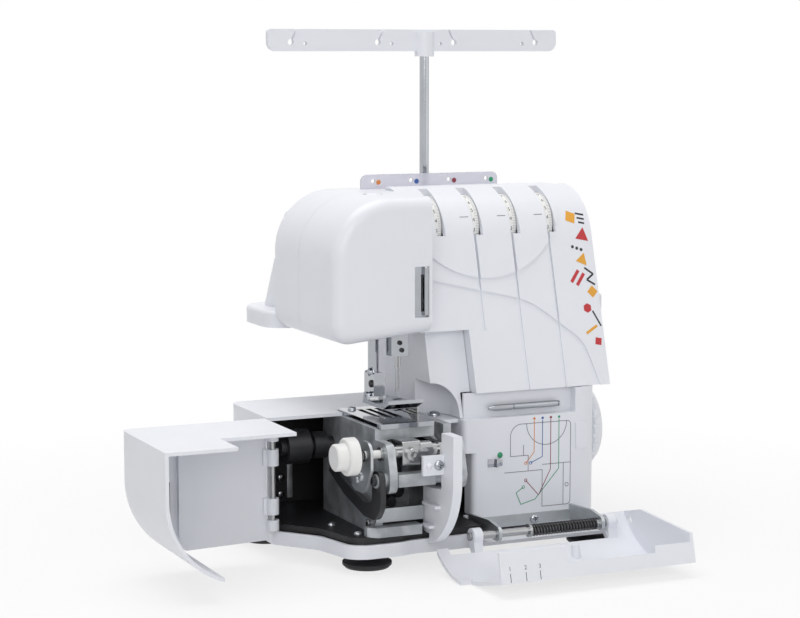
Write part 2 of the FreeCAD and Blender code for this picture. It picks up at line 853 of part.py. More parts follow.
def make_looper_cover():
    left = S.cover_left
    right = S.cover_right
    front = S.cover_front
    back = S.cover_foot_y + 1
    outline = cover_outline(0, S.cover_foot_y, S.bed_top)
    hollow = cover_outline(S.wall, back, S.bed_top - S.wall)
    whole = prism("x", outline, left, right)
    room = prism("x", hollow, left - 1, right - S.wall)
    behind = prism("x", [
        (front + S.cover_lip, S.bed_top + 1),
        (back, S.cover_end_z),
        (back, S.bed_top + 1),
    ], left - 1, right + 1)
    rim_low = S.bed_top - S.wall - 1
    rims = [
        box(S.cover_lip_right, S.cover_rim_right, front + S.cover_rim, back, rim_low, S.bed_top + 1),
        box(S.cover_rim_right - 1, right - S.wall, front + S.cover_corner_rim, back, rim_low, S.bed_top + 1),
    ]
    trim = rod("x", S.rod_radius + 9, left - 1, S.ear_right + S.ear_thick + 2.5, S.rod_y, S.rod_z)
    shell = cut(whole, room, behind, trim, *rims)
    strip = cut(
        prism("x", outline, left - S.tongue_reach, left + 1),
        prism("x", hollow, left - S.tongue_reach - 1, left + 2),
    )
    tongue = common(strip,
                    box(left - S.tongue_reach - 1, left + 2, front - 1, back, S.tongue_low, S.tongue_top))
    knuckles = []
    for start in (S.knuckle_x, S.ear_right + S.ear_thick + 3):
        end = start + S.knuckle_width
        knuckles.append(rod("x", S.rod_radius + 3, start, end, S.rod_y, S.rod_z))
        knuckles.append(prism("x", [
            (S.rod_y - 14, S.rod_z - 0.5),
            (S.rod_y - 8, S.rod_z - 4.5),
            (S.rod_y, S.rod_z - 4.5),
            (S.rod_y, S.rod_z + 4),
            (S.rod_y - 14, S.rod_z + 4),
        ], start, end))
    posts = [
        rod("y", 3, front + 9, front + 20, x, S.cover_post_z)
        for x in (S.cover_post_x, S.cover_post_x + S.cover_post_gap)
    ]
    dish = cone("y", S.cover_dish_radius, S.cover_dish_radius - 2, front, front + 8, S.cover_dish_x,
                S.cover_dish_z)
    pieces = [shell, tongue, common(dish, whole)] + posts + knuckles
    bore = rod("x", S.rod_radius + S.running, left - 1, right + 1, S.rod_y, S.rod_z)
    cover = node("front_cover", cut(fuse(*pieces), bore))
    axis_point = Vector(0, float(S.rod_y), float(S.rod_z))
    turn_about(cover, axis_point, Vector(1, 0, 0), float(S.cover_open))
    make_cover_hinge()


def make_cover_hinge():
    """Rod that the looper cover tilts on and slides with, the spring that pushes it left, and its bracket."""
    collar = S.ear_right - S.spring_room - 2
    node("cover_rod", fuse(
        rod("x", S.rod_radius, S.knuckle_x - 2, S.ear_right + S.ear_thick + 12, S.rod_y, S.rod_z),
        rod("x", S.rod_radius + 2, collar, collar + 2, S.rod_y, S.rod_z),
    ))
    spring = doc.addObject("Part::Feature", "Spring")
    spring.Shape = coil(float(S.rod_radius + S.spring_wire / 2 + 0.3), float(S.spring_wire),
                        float(S.spring_room - 0.6), int(S.spring_turns.number))
    spring.Placement = Placement(Vector(float(collar + 2.3), float(S.rod_y), float(S.rod_z)), TURN_TO["x"])
    node("cover_spring", spring)

    face = S.base_panel_y
    low = S.base_panel_low + 1
    ears = [
        prism("x", [
            (face, low),
            (face, S.rod_z + 6),
            (S.rod_y + 12, S.rod_z + 8),
            (S.rod_y - 5.5, S.rod_z + 5, 4),
            (S.rod_y - 5.5, S.rod_z - 5, 4),
            (S.rod_y + 8, S.rod_z - 5),
        ], start, start + S.ear_thick)
        for start in (S.ear_left, S.ear_right)
    ]
    back = box(S.ear_left, S.ear_right + S.ear_thick, face - 2, face, low, S.rod_z + 2)
    hole = rod("x", S.rod_radius + S.running, S.ear_left - 1, S.ear_right + S.ear_thick + 1, S.rod_y, S.rod_z)
    node("hinge_bracket", cut(fuse(back, *ears), hole))


def make_cover_bracket():
    """Web that stands between the door and the looper cover, set back from both."""
    left = S.door_right + S.clearance
    right = S.cover_left - 1
    back = S.bed_block_front
    top = S.bed_top - 3
    edge = cover_outline(S.bracket_set_back, S.cover_foot_y, FLOOR_TOP)
    fall = math.tan(cover_lean())
    post_back = S.holder_y - 18
    foot_back = S.base_front - 4
    shelf = S.knife_z - S.knife_shaft - 3
    web = prism("x", [
        (edge[0][0], top),
        edge[1],
        (foot_back, edge[2][1] + (edge[2][0] - foot_back) * fall),
        (foot_back, FLOOR_TOP),
        (back, FLOOR_TOP),
        (back, shelf - 2),
        (post_back, shelf),
        (post_back, top),
    ], left, right)
    tab = box(left - 16, left + 1, post_back - 4, post_back - 1, S.holder_z - 14, S.holder_z)
    ribs = [
        box(left - 4, left + 1, start, back - 6, z, z + 2)
        for start, z in ((post_back + 2, S.looper_z + 2), (post_back + 12, S.looper_z - 14))
    ]
    node("cover_bracket", fuse(web, tab, *ribs))


# Drive

def make_drive():
    start = S.bed_left + 16
    wheel_x = S.base_side + S.wheel_gap
    end = wheel_x + S.wheel_width - 2
    eccentric = rod("x", S.shaft_radius + 7, start + 4, start + 22, S.shaft_y + 2, S.shaft_z)
    clamp = rod("x", S.shaft_radius + 4, start + 25, start + 36, S.shaft_y, S.shaft_z)
    crank = rod("x", S.shaft_radius + 6, S.upright_left + 16, S.upright_left + 26, S.shaft_y - 3, S.shaft_z)
    shaft = rod("x", S.shaft_radius, start, end, S.shaft_y, S.shaft_z)
    node("main_shaft", fuse(shaft, eccentric, clamp, crank))

    bore = S.shaft_radius + 0.02
    wheel = turned("x", [
        (bore, 0),
        (bore + 7, 0),
        (bore + 7, 6),
        (S.wheel_radius - 8, 6),
        (S.wheel_radius - 8, 2),
        (S.wheel_radius - 2, 2),
        (S.wheel_radius, 4),
        (S.wheel_radius, S.wheel_width - 6),
        (S.wheel_radius - 5, S.wheel_width),
        (S.wheel_radius - 12, S.wheel_width),
        (S.wheel_radius - 16, S.wheel_width - 3),
        (bore, S.wheel_width - 3),
    ], wheel_x, S.shaft_y, S.shaft_z)
    groove = wheel.newObject("PartDesign::Pocket", "Grip")
    sketch = wheel.newObject("Sketcher::SketchObject", "GripOutline")
    sketch.AttachmentSupport = (plane_of(wheel, "z"), [""])
    sketch.MapMode = "FlatFace"
    notch = float(S.grip_notch)
    rim = sketch.addGeometry(Part.Circle(Vector(float(S.wheel_radius), 0, 0), Vector(0, 0, 1), notch), False)
    radius = sketch.addConstraint(Sketcher.Constraint("Radius", rim, notch))
    sketch.setExpression("Constraints[%d]" % radius, text_of(S.grip_notch))
    sketch.addConstraint(Sketcher.Constraint("PointOnObject", rim, 3, -1))
    place = sketch.addConstraint(Sketcher.Constraint("DistanceX", -1, 1, rim, 3, float(S.wheel_radius)))
    sketch.setExpression("Constraints[%d]" % place, text_of(S.wheel_radius + 0.6))
    groove.Profile = sketch
    groove.Type = 1
    groove.Reversed = True
    doc.recompute()
    ring = wheel.newObject("PartDesign::PolarPattern", "GripRing")
    ring.Originals = [groove]
    ring.Axis = (wheel.Origin.OriginFeatures[2], [""])
    ring.Angle = 360
    ring.Occurrences = int(S.grip_count.number)
    wheel.Tip = ring
    doc.recompute()
    node("handwheel", wheel)

    node("main_pulley", pulley(S.pulley_radius, bore))
    rotor_bore = S.motor_shaft
    motor_end = S.upright_right
    rim = turned("x", pulley_outline(S.motor_pulley, rotor_bore - 1), S.pulley_x, S.motor_y, S.motor_z)
    axle = rod("x", S.motor_shaft, S.upright_left + S.upright_thick + 6, S.pulley_x + S.pulley_width + 2,
               S.motor_y, S.motor_z)
    node("motor_rotor", fuse(axle, rim))
    can = rod("x", S.motor_radius, S.upright_left + S.upright_thick + 2, motor_end, S.motor_y, S.motor_z)
    hole = rod("x", S.motor_shaft + S.running, S.upright_left + S.upright_thick + 5, motor_end + 1,
               S.motor_y, S.motor_z)
    node("motor", cut(can, hole))

    belt = doc.addObject("Part::Feature", "Belt")
    play = 0.3
    width = float(S.pulley_width) - 4
    outside = belt_loop(play + float(S.belt_thick), width)
    belt.Shape = outside.cut(belt_loop(play, width))
    belt.Placement = Placement(Vector(float(S.pulley_x) + 2, 0, 0), Rotation())
    node("drive_belt", belt)


def pulley_outline(radius, bore):
    flange = 1.5
    return [
        (bore, 0),
        (radius + flange, 0),
        (radius + flange, flange),
        (radius, flange),
        (radius, S.pulley_width - flange),
        (radius + flange, S.pulley_width - flange),
        (radius + flange, S.pulley_width),
        (bore, S.pulley_width),
    ]


def pulley(radius, bore):
    return turned("x", pulley_outline(radius, bore), S.pulley_x, S.shaft_y, S.shaft_z)


def belt_loop(offset, width):
    """Slab along X whose outline is the loop round both pulleys, offset outwards."""
    big = Vector(0, float(S.shaft_y), float(S.shaft_z))
    small = Vector(0, float(S.motor_y), float(S.motor_z))
    big_radius = float(S.pulley_radius) + offset
    small_radius = float(S.motor_pulley) + offset
    away = small - big
    heading = math.atan2(away.z, away.y)
    spread = math.acos((big_radius - small_radius) / away.Length)

    def rim(centre, radius, angle):
        return centre + Vector(0, math.cos(angle), math.sin(angle)) * radius

    a = rim(big, big_radius, heading + spread)
    b = rim(big, big_radius, heading - spread)
    c = rim(small, small_radius, heading - spread)
    d = rim(small, small_radius, heading + spread)
    loop = Part.Wire([
        Part.Arc(a, rim(big, big_radius, heading + math.pi), b).toShape(),
        Part.LineSegment(b, c).toShape(),
        Part.Arc(c, rim(small, small_radius, heading), d).toShape(),
        Part.LineSegment(d, a).toShape(),
    ])
    return Part.Face(loop).extrude(Vector(width, 0, 0))


# Housings of the arm and the head

def head_outline(inset):
    return [
        (S.head_left + inset, S.head_bottom + inset, 14 - inset),
        (S.head_right - inset, S.head_bottom + S.head_rise + inset),
        (S.head_right - inset, S.head_top - inset),
        (S.head_left + inset, S.head_top - inset, S.head_crown - inset),
    ]


def panel_outline(inset):
    """Side view of the arm's front: a leaning panel that curves over into the top."""
    lean = math.atan2(float(S.panel_top_y - S.panel_foot_y), float(S.body_top - S.panel_foot_z))
    shift = inset / math.cos(lean)
    return [
        (S.body_split, S.panel_foot_z),
        (S.panel_foot_y + shift, S.panel_foot_z),
        (S.panel_top_y + shift - inset * math.tan(lean), S.body_top - inset, S.panel_curve - inset),
        (S.body_split, S.body_top - inset),
    ]


def dial_places():
    return [S.dial_first_x + S.dial_pitch * index for index in range(4)]


def make_front_housing():
    left = S.head_right + 2 * S.seam
    right = S.body_right
    outer = prism("x", panel_outline(0), left, right)
    dome = common(
        prism("x", panel_outline(-S.dome_raise), left, right),
        rod("y", S.dome_radius, S.panel_foot_y - 10, S.body_split, S.dome_x, S.dome_z),
    )
    swoosh = common(
        prism("x", panel_outline(-S.swoosh_raise), left, right),
        prism("y", [
            (left - 1, S.swoosh_left_z),
            (S.dome_x + 32, S.swoosh_middle_z, 60),
            (S.dome_x + 74, S.swoosh_right_z, 30),
            (S.dome_x + 84, S.panel_foot_z - 1),
            (right + 1, S.panel_foot_z - 1),
            (right + 1, S.dome_z),
            (left - 1, S.dome_z),
        ], S.panel_foot_y - 10, S.body_split),
    )
    skin = fuse(outer, swoosh, dome)
    step = box(left - 1, S.panel_step_x, S.panel_foot_y - 15, S.body_split + 1, S.panel_foot_z - 1,
               S.panel_step_z)
    inner = cut(
        prism("x", panel_outline(S.wall), left + S.wall, right - S.wall),
        box(left, S.panel_step_x + S.wall, S.panel_foot_y - 15, S.body_split + 1,
            S.panel_foot_z - 2, S.panel_step_z + S.wall),
        box(S.base_side, right, S.panel_foot_y - 15, S.body_split + 1, S.panel_foot_z - 2,
            S.panel_foot_z + S.wall),
    )
    below = box(S.panel_step_x + S.wall, S.base_side, S.panel_foot_y + 2 * S.wall, S.body_split + 1,
                S.panel_foot_z - 1, S.panel_foot_z + 1)
    passage = box(left - 1, left + S.wall + 1, S.presser_y, S.body_split + 1, S.panel_step_z + 8,
                  S.arm_top + 20)
    slots = [
        box(x - S.dial_width / 2 - S.clearance, x + S.dial_width / 2 + S.clearance, S.panel_foot_y,
            S.dial_y + 5,
            S.dial_z - 4.5, S.dome_z)
        for x in dial_places()
    ]
    grooves = []
    lean = (S.panel_top_y - S.panel_foot_y) / (S.body_top - S.panel_foot_z)
    for x, low in zip(dial_places()[1:], (S.panel_step_z, S.panel_foot_z, S.panel_foot_z)):
        foot = S.panel_foot_y + lean * (low - S.panel_foot_z)
        head = S.panel_foot_y + lean * (S.dial_z - S.panel_foot_z)
        side = x - S.dial_width / 2
        grooves.append(prism("x", [
            (foot - 6, low - 1),
            (foot + 0.9, low - 1),
            (head + 0.9, S.dial_z),
            (head - 6, S.dial_z),
        ], side - 1.4, side + 0.6))
    node("front_housing", cut(skin, step, inner, below, passage, *(slots + grooves)))


def make_rear_housing():
    back = S.body_back
    head_start = S.head_split + S.seam
    body_start = S.body_split + S.seam
    column_start = S.column_back + S.seam
    low = S.bed_top + S.seam
    head = prism("y", head_outline(0), head_start, back)
    arm = box(S.head_right - 2, S.body_right, body_start, back, S.panel_step_z, S.body_top)
    body = box(S.column_left, S.body_right, body_start, back, low, S.panel_step_z + 1)
    column = box(S.column_left, S.panel_step_x, column_start, back, low, S.panel_step_z)
    outer = fuse(head, arm, body, column)
    head_room = prism("y", head_outline(S.wall), head_start - 1, back - S.wall)
    room_start = body_start - 1
    room_end = back - S.wall
    right = S.body_right - S.wall
    rooms = [
        box(S.head_right - 2 + S.wall, right, room_start, room_end, S.panel_step_z + S.wall,
            S.body_top - S.wall),
        box(S.column_left + S.wall, right, room_start, room_end, low + S.wall, S.panel_step_z + S.wall + 1),
        box(S.column_left + S.wall, S.base_side, room_start, room_end, low - 1, low + S.wall + 1),
    ]
    column_room = box(S.column_left + S.wall, S.panel_step_x + 6, column_start - 1, back - S.wall,
                      low - 1, S.panel_step_z - S.wall)
    doorway = box(S.head_left + 40, S.head_right + 8, head_start - 1, back - S.wall,
                  S.panel_step_z + 8, S.head_top - 6)
    lifter = rod("y", S.lifter_axle + S.running, back - 8, back + 1, S.presser_x - 17, S.arm_bottom + 24)
    node("rear_housing", cut(outer, head_room, column_room, doorway, lifter, *rooms))


def make_face_cover():
    outer = prism("y", head_outline(0), S.head_front, S.head_split)
    names = [n for n in edges_at(outer.Shape, y=S.head_front) if not upright_at(outer.Shape, n, S.head_right)]
    round_body(outer, S.head_round, names)
    inner_front = S.head_front + S.wall
    inner_right = S.head_right - S.wall
    room = prism("y", head_outline(S.wall), inner_front, S.head_split + 1)
    names = [n for n in edges_at(room.Shape, y=inner_front) if not upright_at(room.Shape, n, inner_right)]
    round_body(room, S.head_round - S.wall, names)
    side = box(S.head_right - S.wall - 1, S.head_right + 1, S.panel_foot_y + 8, S.head_split + 1,
               S.head_bottom + S.head_rise + S.wall, S.head_top - 6)
    floor = box(S.presser_x - 20, S.needle_x + 10, S.needle_y - 16, S.presser_y + 15,
                S.head_bottom - 1, S.head_bottom + 14)
    window = box(S.needle_x, inner_right, S.head_front - 1, inner_front, S.head_bottom + 19,
                 S.head_bottom + 56)
    knob = rod("z", 7 + S.clearance, S.head_top - 12, S.head_top + 1, S.presser_x, S.presser_y)
    node("face_cover", cut(outer, room, side, floor, window, knob))
    plate = box(S.needle_x - 4, inner_right - S.seam, inner_front, inner_front + 1,
                S.head_bottom + 18, S.head_bottom + 60)
    slit = box(S.needle_x + 6, S.needle_x + 8, inner_front - 1, inner_front + 2,
               S.head_bottom + 23, S.head_bottom + 50)
    node("take_up_cover", cut(plate, slit))


def upright_at(shape, name, x):
    """True for an edge that stands at one X all along."""
    return all(abs(point.x - float(x)) < 0.05 for point in edge_points(shape.getElement(name)))


def base_wall(left, back, low, high):
    """Front wall of the base: round the right corner, and at its left end turned towards the back."""
    face = S.base_panel_y
    wall = S.wall
    right = S.base_side
    corner_end = face + S.base_corner + 1
    turn = 4
    return prism("z", [
        (right, corner_end),
        (right, face, S.base_corner),
        (left, face, turn),
        (left, back),
        (left + wall, back),
        (left + wall, face + wall, turn - wall),
        (right - wall, face + wall, S.base_corner - wall),
        (right - wall, corner_end),
    ], low, high)


def make_lower_body():
    face = S.base_panel_y
    top = S.panel_foot_z - S.seam
    wall = S.wall
    ledge_back = face + S.ledge_depth
    block = base_wall(S.base_block_left, S.shaft_y - S.shaft_radius - 2, S.base_block_low, S.ledge_z)
    plain = base_wall(S.base_panel_left, face + 14, FLOOR_TOP + 0.5, S.base_block_low)
    skirt = base_wall(S.ear_left - 1.5, face + 5, S.base_panel_low, FLOOR_TOP + 1)
    post = common(
        base_wall(S.base_panel_left, face + 14, S.ledge_z - 1, top),
        box(S.ledge_right, S.base_side + 1, face - 1, face + S.base_corner + 2, S.ledge_z - 1, top),
    )
    post_side = box(S.ledge_right, S.ledge_right + wall, face + 1, ledge_back + wall, S.ledge_z - 1, top)
    band_left = S.column_left + S.cove_radius + wall + S.seam
    band = box(band_left, S.ledge_right + 1, ledge_back, ledge_back + wall, S.ledge_z - 1, top)
    shelf = box(S.base_block_left + 1, S.ledge_right + 1, face + 1, ledge_back + wall, S.ledge_z - wall,
                S.ledge_z)
    bump = box(S.base_side - 23, S.base_side - 13, face - 1.5, face + 6, S.base_block_low - 3, S.ledge_z - 8)
    node("base_front_panel", fuse(block, plain, skirt, post, post_side, band, shelf, bump))
    make_belt_cover()
    make_power_inlet()
    make_throat_panel()


def make_belt_cover():
    """Right side and right part of the base's back, with holes for the shaft, the inlet and the switch."""
    right = S.base_side
    inner = right - S.wall
    front = S.base_panel_y + S.base_corner + 1 + S.seam
    left = S.upright_left + S.seam
    side = prism("z", [
        (right, front),
        (right, S.bed_back, 8),
        (left, S.bed_back),
        (left, S.bed_back - S.wall),
        (inner, S.bed_back - S.wall, 5.5),
        (inner, front),
    ], BASE_TOP - 4, S.bed_top)
    top_side = box(inner, right, front, S.body_split, S.bed_top - 1, S.panel_foot_z - S.seam)
    hub = rod("x", S.shaft_radius + 3, right - 5, right + 1, S.shaft_y, S.shaft_z)
    openings = [
        box(right - 5, right + 1, start, start + width, S.inlet_z, S.inlet_z + S.inlet_height)
        for start, width in ((S.inlet_y, S.inlet_width), (S.switch_y, S.switch_width))
    ]
    node("belt_cover", cut(fuse(side, top_side), hub, *openings))


def make_power_inlet():
    """Two-pin inlet and the rocker switch beside it."""
    right = S.base_side
    play = 0.3
    middle_z = S.inlet_z + S.inlet_height / 2
    low = S.inlet_z + play
    high = S.inlet_z + S.inlet_height - play
    start = S.inlet_y + play
    end = S.inlet_y + S.inlet_width - play
    shell = box(right - S.inlet_depth, right + 1, start, end, low, high)
    well = box(right - S.inlet_depth + 5, right + 2, start + 2.7, end - 2.7, low + 2.7, high - 2.7)
    pins = [
        rod("x", 1.2, right - S.inlet_depth + 4, right - 2, S.inlet_y + S.inlet_width / 2 + side * 4,
            middle_z)
        for side in (-1, 1)
    ]
    node("power_inlet", fuse(cut(shell, well), *pins))
    node("power_switch", prism("y", [
        (right - 4, low + 0.7),
        (right + 1, low + 0.5),
        (right + 2.2, middle_z),
        (right + 4, high - 0.7),
        (right - 4, high - 0.7),
    ], S.switch_y + 2 * play, S.switch_y + S.switch_width - 2 * play))


def make_throat_panel():
    """Column under the arm's left end, with a round cove scooped out of its lower left corner."""
    wall = S.wall
    low = S.ledge_z + S.seam
    high = S.panel_step_z - S.seam
    left = S.column_left
    right = S.panel_step_x - S.seam
    back = S.column_back
    lean = (S.panel_top_y - S.panel_foot_y) / (S.body_top - S.panel_foot_z)

    def face_at(z):
        return S.panel_foot_y + S.column_set_back + lean * (z - S.panel_foot_z)

    front = face_at(low)
    outer = prism("x", [(front, low), (face_at(high), high), (back, high), (back, low)], left, right)
    room = prism("x", [
        (face_at(low - 1) + wall, low - 1),
        (face_at(high + 1) + wall, high + 1),
        (back + 1, high + 1),
        (back + 1, low - 1),
    ], left + wall, right + 1)
    cove_right = left + S.cove_radius
    cove_top = S.bed_top + S.cove_radius
    cove_back = S.needle_y + 17
    cove_curve = S.cove_radius - 2
    scoop = prism("y", [
        (left - 1, low - 1),
        (left - 1, cove_top),
        (cove_right, cove_top, S.cove_radius),
        (cove_right, low - 1),
    ], front - 1, cove_back + 0.5)
    foot = box(left - 1, right + 1, cove_back, back + 1, low - 1, S.bed_top + S.seam)
    strip = box(cove_right + wall, right + 1, front - 1, face_at(S.panel_foot_z) + 2 * wall, low - 1,
                S.panel_foot_z)
    lining = common(outer, prism("z", [
        (cove_right, front),
        (cove_right, cove_back, cove_curve),
        (left, cove_back),
        (left, cove_back + wall),
        (cove_right + wall, cove_back + wall, cove_curve + wall),
        (cove_right + wall, front),
    ], low, cove_top))
    node("throat_panel", fuse(cut(outer, room, scoop, foot, strip), lining))


# Tension dials

def make_tension():
    left = S.dial_first_x - 19
    right = S.dial_first_x + 3 * S.dial_pitch + 20
    base = box(left, right, S.dial_y - 13, S.dial_y + 13, S.arm_top, S.arm_top + 2)
    ends = [
        prism("x", [
            (S.dial_y - 10, S.arm_top + 1),
            (S.dial_y - 6, S.dial_z + 7, 5),
            (S.dial_y + 6, S.dial_z + 7, 5),
            (S.dial_y + 10, S.arm_top + 1),
        ], x, x + 2.5)
        for x in (left, right - 2.5)
    ]
    axle = rod("x", S.dial_axle, left, right, S.dial_y, S.dial_z)
    node("tension_bracket", fuse(base, axle, *ends))

    bore = S.dial_axle + S.running
    half = S.dial_width / 2
    names = ("left_needle_dial", "right_needle_dial", "upper_looper_dial", "lower_looper_dial")
    discs = []
    for name, x in zip(names, dial_places()):
        node(name, turned("x", [
            (bore, -half),
            (bore + 4, -half),
            (S.dial_radius - 5, -half + 1.5),
            (S.dial_radius - 1, -half),
            (S.dial_radius, -half + 1),
            (S.dial_radius, half - 1),
            (S.dial_radius - 1, half),
            (S.dial_radius - 5, half - 1.5),
            (bore + 4, half),
            (bore, half),
        ], x, S.dial_y, S.dial_z))
        for shift in (3, 5):
            discs.append(turned("x", [
                (bore, 0),
                (11, 0),
                (11, 0.8),
                (8, 1.4),
                (bore, 1.4),
            ], x - half - shift, S.dial_y, S.dial_z))
    node("tension_discs", group(*discs))
    plate_y = S.body_split + 14
    guide = prism("y", [
        (S.dial_first_x - 38, S.body_top),
        (S.dial_first_x + 78, S.body_top),
        (S.dial_first_x + 78, S.body_top + 11, 5),
        (S.dial_first_x - 38, S.body_top + 11, 5),
    ], plate_y, plate_y + 1.5)
    holes = [
        rod("y", 1.6, plate_y - 1, plate_y + 3, S.dial_first_x - 28 + S.guide_pitch * index, S.body_top + 6)
        for index in range(4)
    ]
    node("thread_guide_plate", cut(guide, *holes))


# Needle bar and presser foot

def make_needle_and_foot():
    node("needle_bar", rod("z", S.needle_bar, S.clamp_high - 10, S.arm_top + 36, S.needle_x, S.needle_y))
    clamp = prism("z", [
        (S.needle_x - 7, S.needle_y - 6, 1.5),
        (S.needle_x + 7, S.needle_y - 6, 1.5),
        (S.needle_x + 7, S.needle_y + 6, 1.5),
        (S.needle_x - 7, S.needle_y + 6, 1.5),
    ], S.clamp_low, S.clamp_high)
    socket = rod("z", S.needle_bar + 0.02, S.clamp_high - 10, S.clamp_high + 1, S.needle_x, S.needle_y)
    node("needle_clamp", cut(clamp, socket))
    needles = []
    for side in (-1, 1):
        x = S.needle_x + S.needle_gap / 2 * side
        tip = S.needle_tip + side
        shank = rod("z", 1, S.clamp_low - 9, S.clamp_low, x, S.needle_y)
        blade = rod("z", 0.55, tip + 3, S.clamp_low - 9, x, S.needle_y)
        point = cone("z", 0.1, 0.55, tip, tip + 3, x, S.needle_y)
        needles.append(fuse(shank, blade, point))
    node("needles", group(*needles))

    foot_low = PLATE_TOP + S.foot_lift + 0.6
    foot_top = foot_low + S.foot_thick
    pivot_y = S.presser_y - 4
    pivot_z = foot_top + 3.2
    x = S.presser_x
    bar = rod("z", S.presser_bar, foot_top + 14, S.arm_top + 24, x, S.presser_y)
    ankle = prism("y", [
        (x - 5, foot_top + 2.7),
        (x + 4, foot_top + 2.7),
        (x + 4, foot_top + 20, 2),
        (x - 5, foot_top + 20, 2),
    ], S.presser_y - 12, S.presser_y + 5)
    spring_stop = rod("z", S.presser_bar + 3, S.arm_top + 8, S.arm_top + 14, x, S.presser_y)
    pin = rod("x", 1.5, x - 8.6, x + 6.6, pivot_y, pivot_z)
    node("presser_bar", fuse(bar, ankle, spring_stop, pin))
    sole = prism("x", [
        (S.presser_y - 48, foot_low + 5),
        (S.presser_y - 47, foot_low + 7.5),
        (S.presser_y - 36, foot_top),
        (S.presser_y - 1, foot_top),
        (S.presser_y - 1, foot_low),
        (S.presser_y - 37, foot_low),
    ], x - 9, S.needle_x + 5.5)
    lugs = [
        prism("x", [
            (pivot_y - 4.5, foot_top - 1),
            (pivot_y - 2.6, pivot_z + 2.2, 2),
            (pivot_y + 2.6, pivot_z + 2.2, 2),
            (pivot_y + 2.9, foot_top - 1),
        ], start, start + 2.2)
        for start in (x - 8.4, x + 4.4)
    ]
    needle_slot = box(S.needle_x - 3.5, S.needle_x + 3.2, S.needle_y - 2.5, S.needle_y + 3, foot_low - 1,
                      foot_top + 1)
    hole = rod("x", 1.5 + S.running, x - 10, x + 8, pivot_y, pivot_z)
    node("presser_foot", cut(fuse(sole, *lugs), needle_slot, hole))
    screw = turned("z", [(0, 0), (3, 0), (3, 24), (7, 24), (7, 31), (6, 32), (0, 32)],
                   x, S.presser_y, S.head_top - 31)
    slot = box(x - 8, x + 8, S.presser_y - 0.8, S.presser_y + 0.8, S.head_top - 0.5, S.head_top + 3)
    node("pressure_screw", cut(screw, slot))

    hub_x = S.presser_x - 17
    hub_z = S.arm_bottom + 24
    axle = rod("y", S.lifter_axle, S.presser_y + 14, S.body_back + 4, hub_x, hub_z)
    handle = prism("y", [
        (hub_x + 8, hub_z - 3, 4),
        (hub_x + 4, hub_z + 8, 5),
        (hub_x - 26, hub_z + 22, 4),
        (hub_x - 28, hub_z + 13, 4),
    ], S.body_back + 0.6, S.body_back + 5.6)
    node("presser_lifter", fuse(axle, handle))


# Knives, cutting width dial, loopers and feed

def make_knives():
    make_upper_knife()
    make_lower_knife()
    make_cutting_dial()


def make_upper_knife():
    """Rocking knife: a shaft in the bed's lugs, its bar, arm and blade, and the bent lever that drives it."""
    y, z = S.knife_y, S.knife_z
    arm_left = S.plate_right + 2.5
    arm_right = S.bed_block_right - S.bed_leg - 1
    lever_right = S.bed_block_left - 3
    lever_left = lever_right - S.lever_thick
    shaft = rod("x", S.knife_shaft, lever_left - 1, S.bed_block_right + 2, y, z)
    bar = box(S.bed_block_left + S.bed_leg + 1, S.door_right - 1.5, y - 7, y + 2, z - 4.5, z + 4.5)
    arm = prism("x", [
        (y - 6, z - 6, 4),
        (y + 7, z - 6),
        (y + 26, z + 6),
        (S.needle_y - 17, S.holder_z + 2),
        (S.needle_y + 3, S.holder_z + 4, 3),
        (S.needle_y + 3, S.holder_z + 12, 3),
        (S.needle_y - 19, S.holder_z + 12),
        (y + 24, S.holder_z + 2),
        (y + 14, z + 10),
        (y - 6, z + 6, 4),
    ], arm_left, arm_right)
    node("knife_arm", fuse(shaft, bar, arm))
    node("upper_knife", prism("x", [
        (S.needle_y - 17, S.holder_z + 2.5),
        (S.needle_y + 3, S.holder_z + 4),
        (S.needle_y + 3, PLATE_TOP + 1),
        (S.needle_y - 8, PLATE_TOP + 6),
        (S.needle_y - 17, PLATE_TOP + 6),
    ], arm_left - 1.5, arm_left))
    lever = prism("x", [
        (y + 84, z),
        (y + 57, z - 10),
        (y + 22, z - 19),
        (y + 8, z - 17, 6),
        (y + 7, z + 7, 6),
        (y - 7, z + 7, 6),
        (y - 8, z - 18, 14),
        (y + 2, z - 29, 12),
        (y + 22, z - 29),
        (y + 58, z - 20),
        (y + 86, z - 8),
    ], lever_left, lever_right)
    hub = rod("x", S.knife_shaft + 0.02, lever_left - 1, lever_right + 1, y, z)
    node("knife_lever", cut(lever, hub))


def make_lower_knife():
    """Fixed knife on a round holder that slides along its axis when the width dial turns."""
    y, z = S.holder_y, S.holder_z
    right = S.plate_right - 0.4
    left = S.plate_right - 5
    shaft = rod("x", S.holder_shaft, S.bed_block_left - 2, S.bed_block_right + 2, y, z)
    block = prism("x", [
        (y - 9, z - 9, 3),
        (y + 9, z - 9, 3),
        (y + 9, z + 9, 3),
        (y - 9, z + 9, 3),
    ], S.needle_x - 28, S.needle_x - 14)
    collar = rod("x", S.holder_shaft + 2, S.needle_x - 14, S.needle_x - 3, y, z)
    arm = prism("x", [
        (y - 7, z - 6, 4),
        (y + 8, z - 6),
        (S.needle_y - 13, z - 2),
        (S.needle_y - 13, z + 5),
        (y + 8, z + 5),
        (y - 7, z + 6, 4),
    ], left, right)
    blade = prism("x", [
        (S.needle_y - 17, z - 3),
        (S.needle_y + 3, z - 1),
        (S.needle_y + 3, PLATE_TOP - 0.3),
        (S.needle_y - 17, PLATE_TOP - 0.3),
    ], right - 2.6, right)
    socket = rod("x", S.cut_screw + S.running, S.bed_block_left - 3, S.bed_block_left + 10, y, z)
    node("lower_knife", cut(fuse(shaft, block, collar, arm, blade), socket))


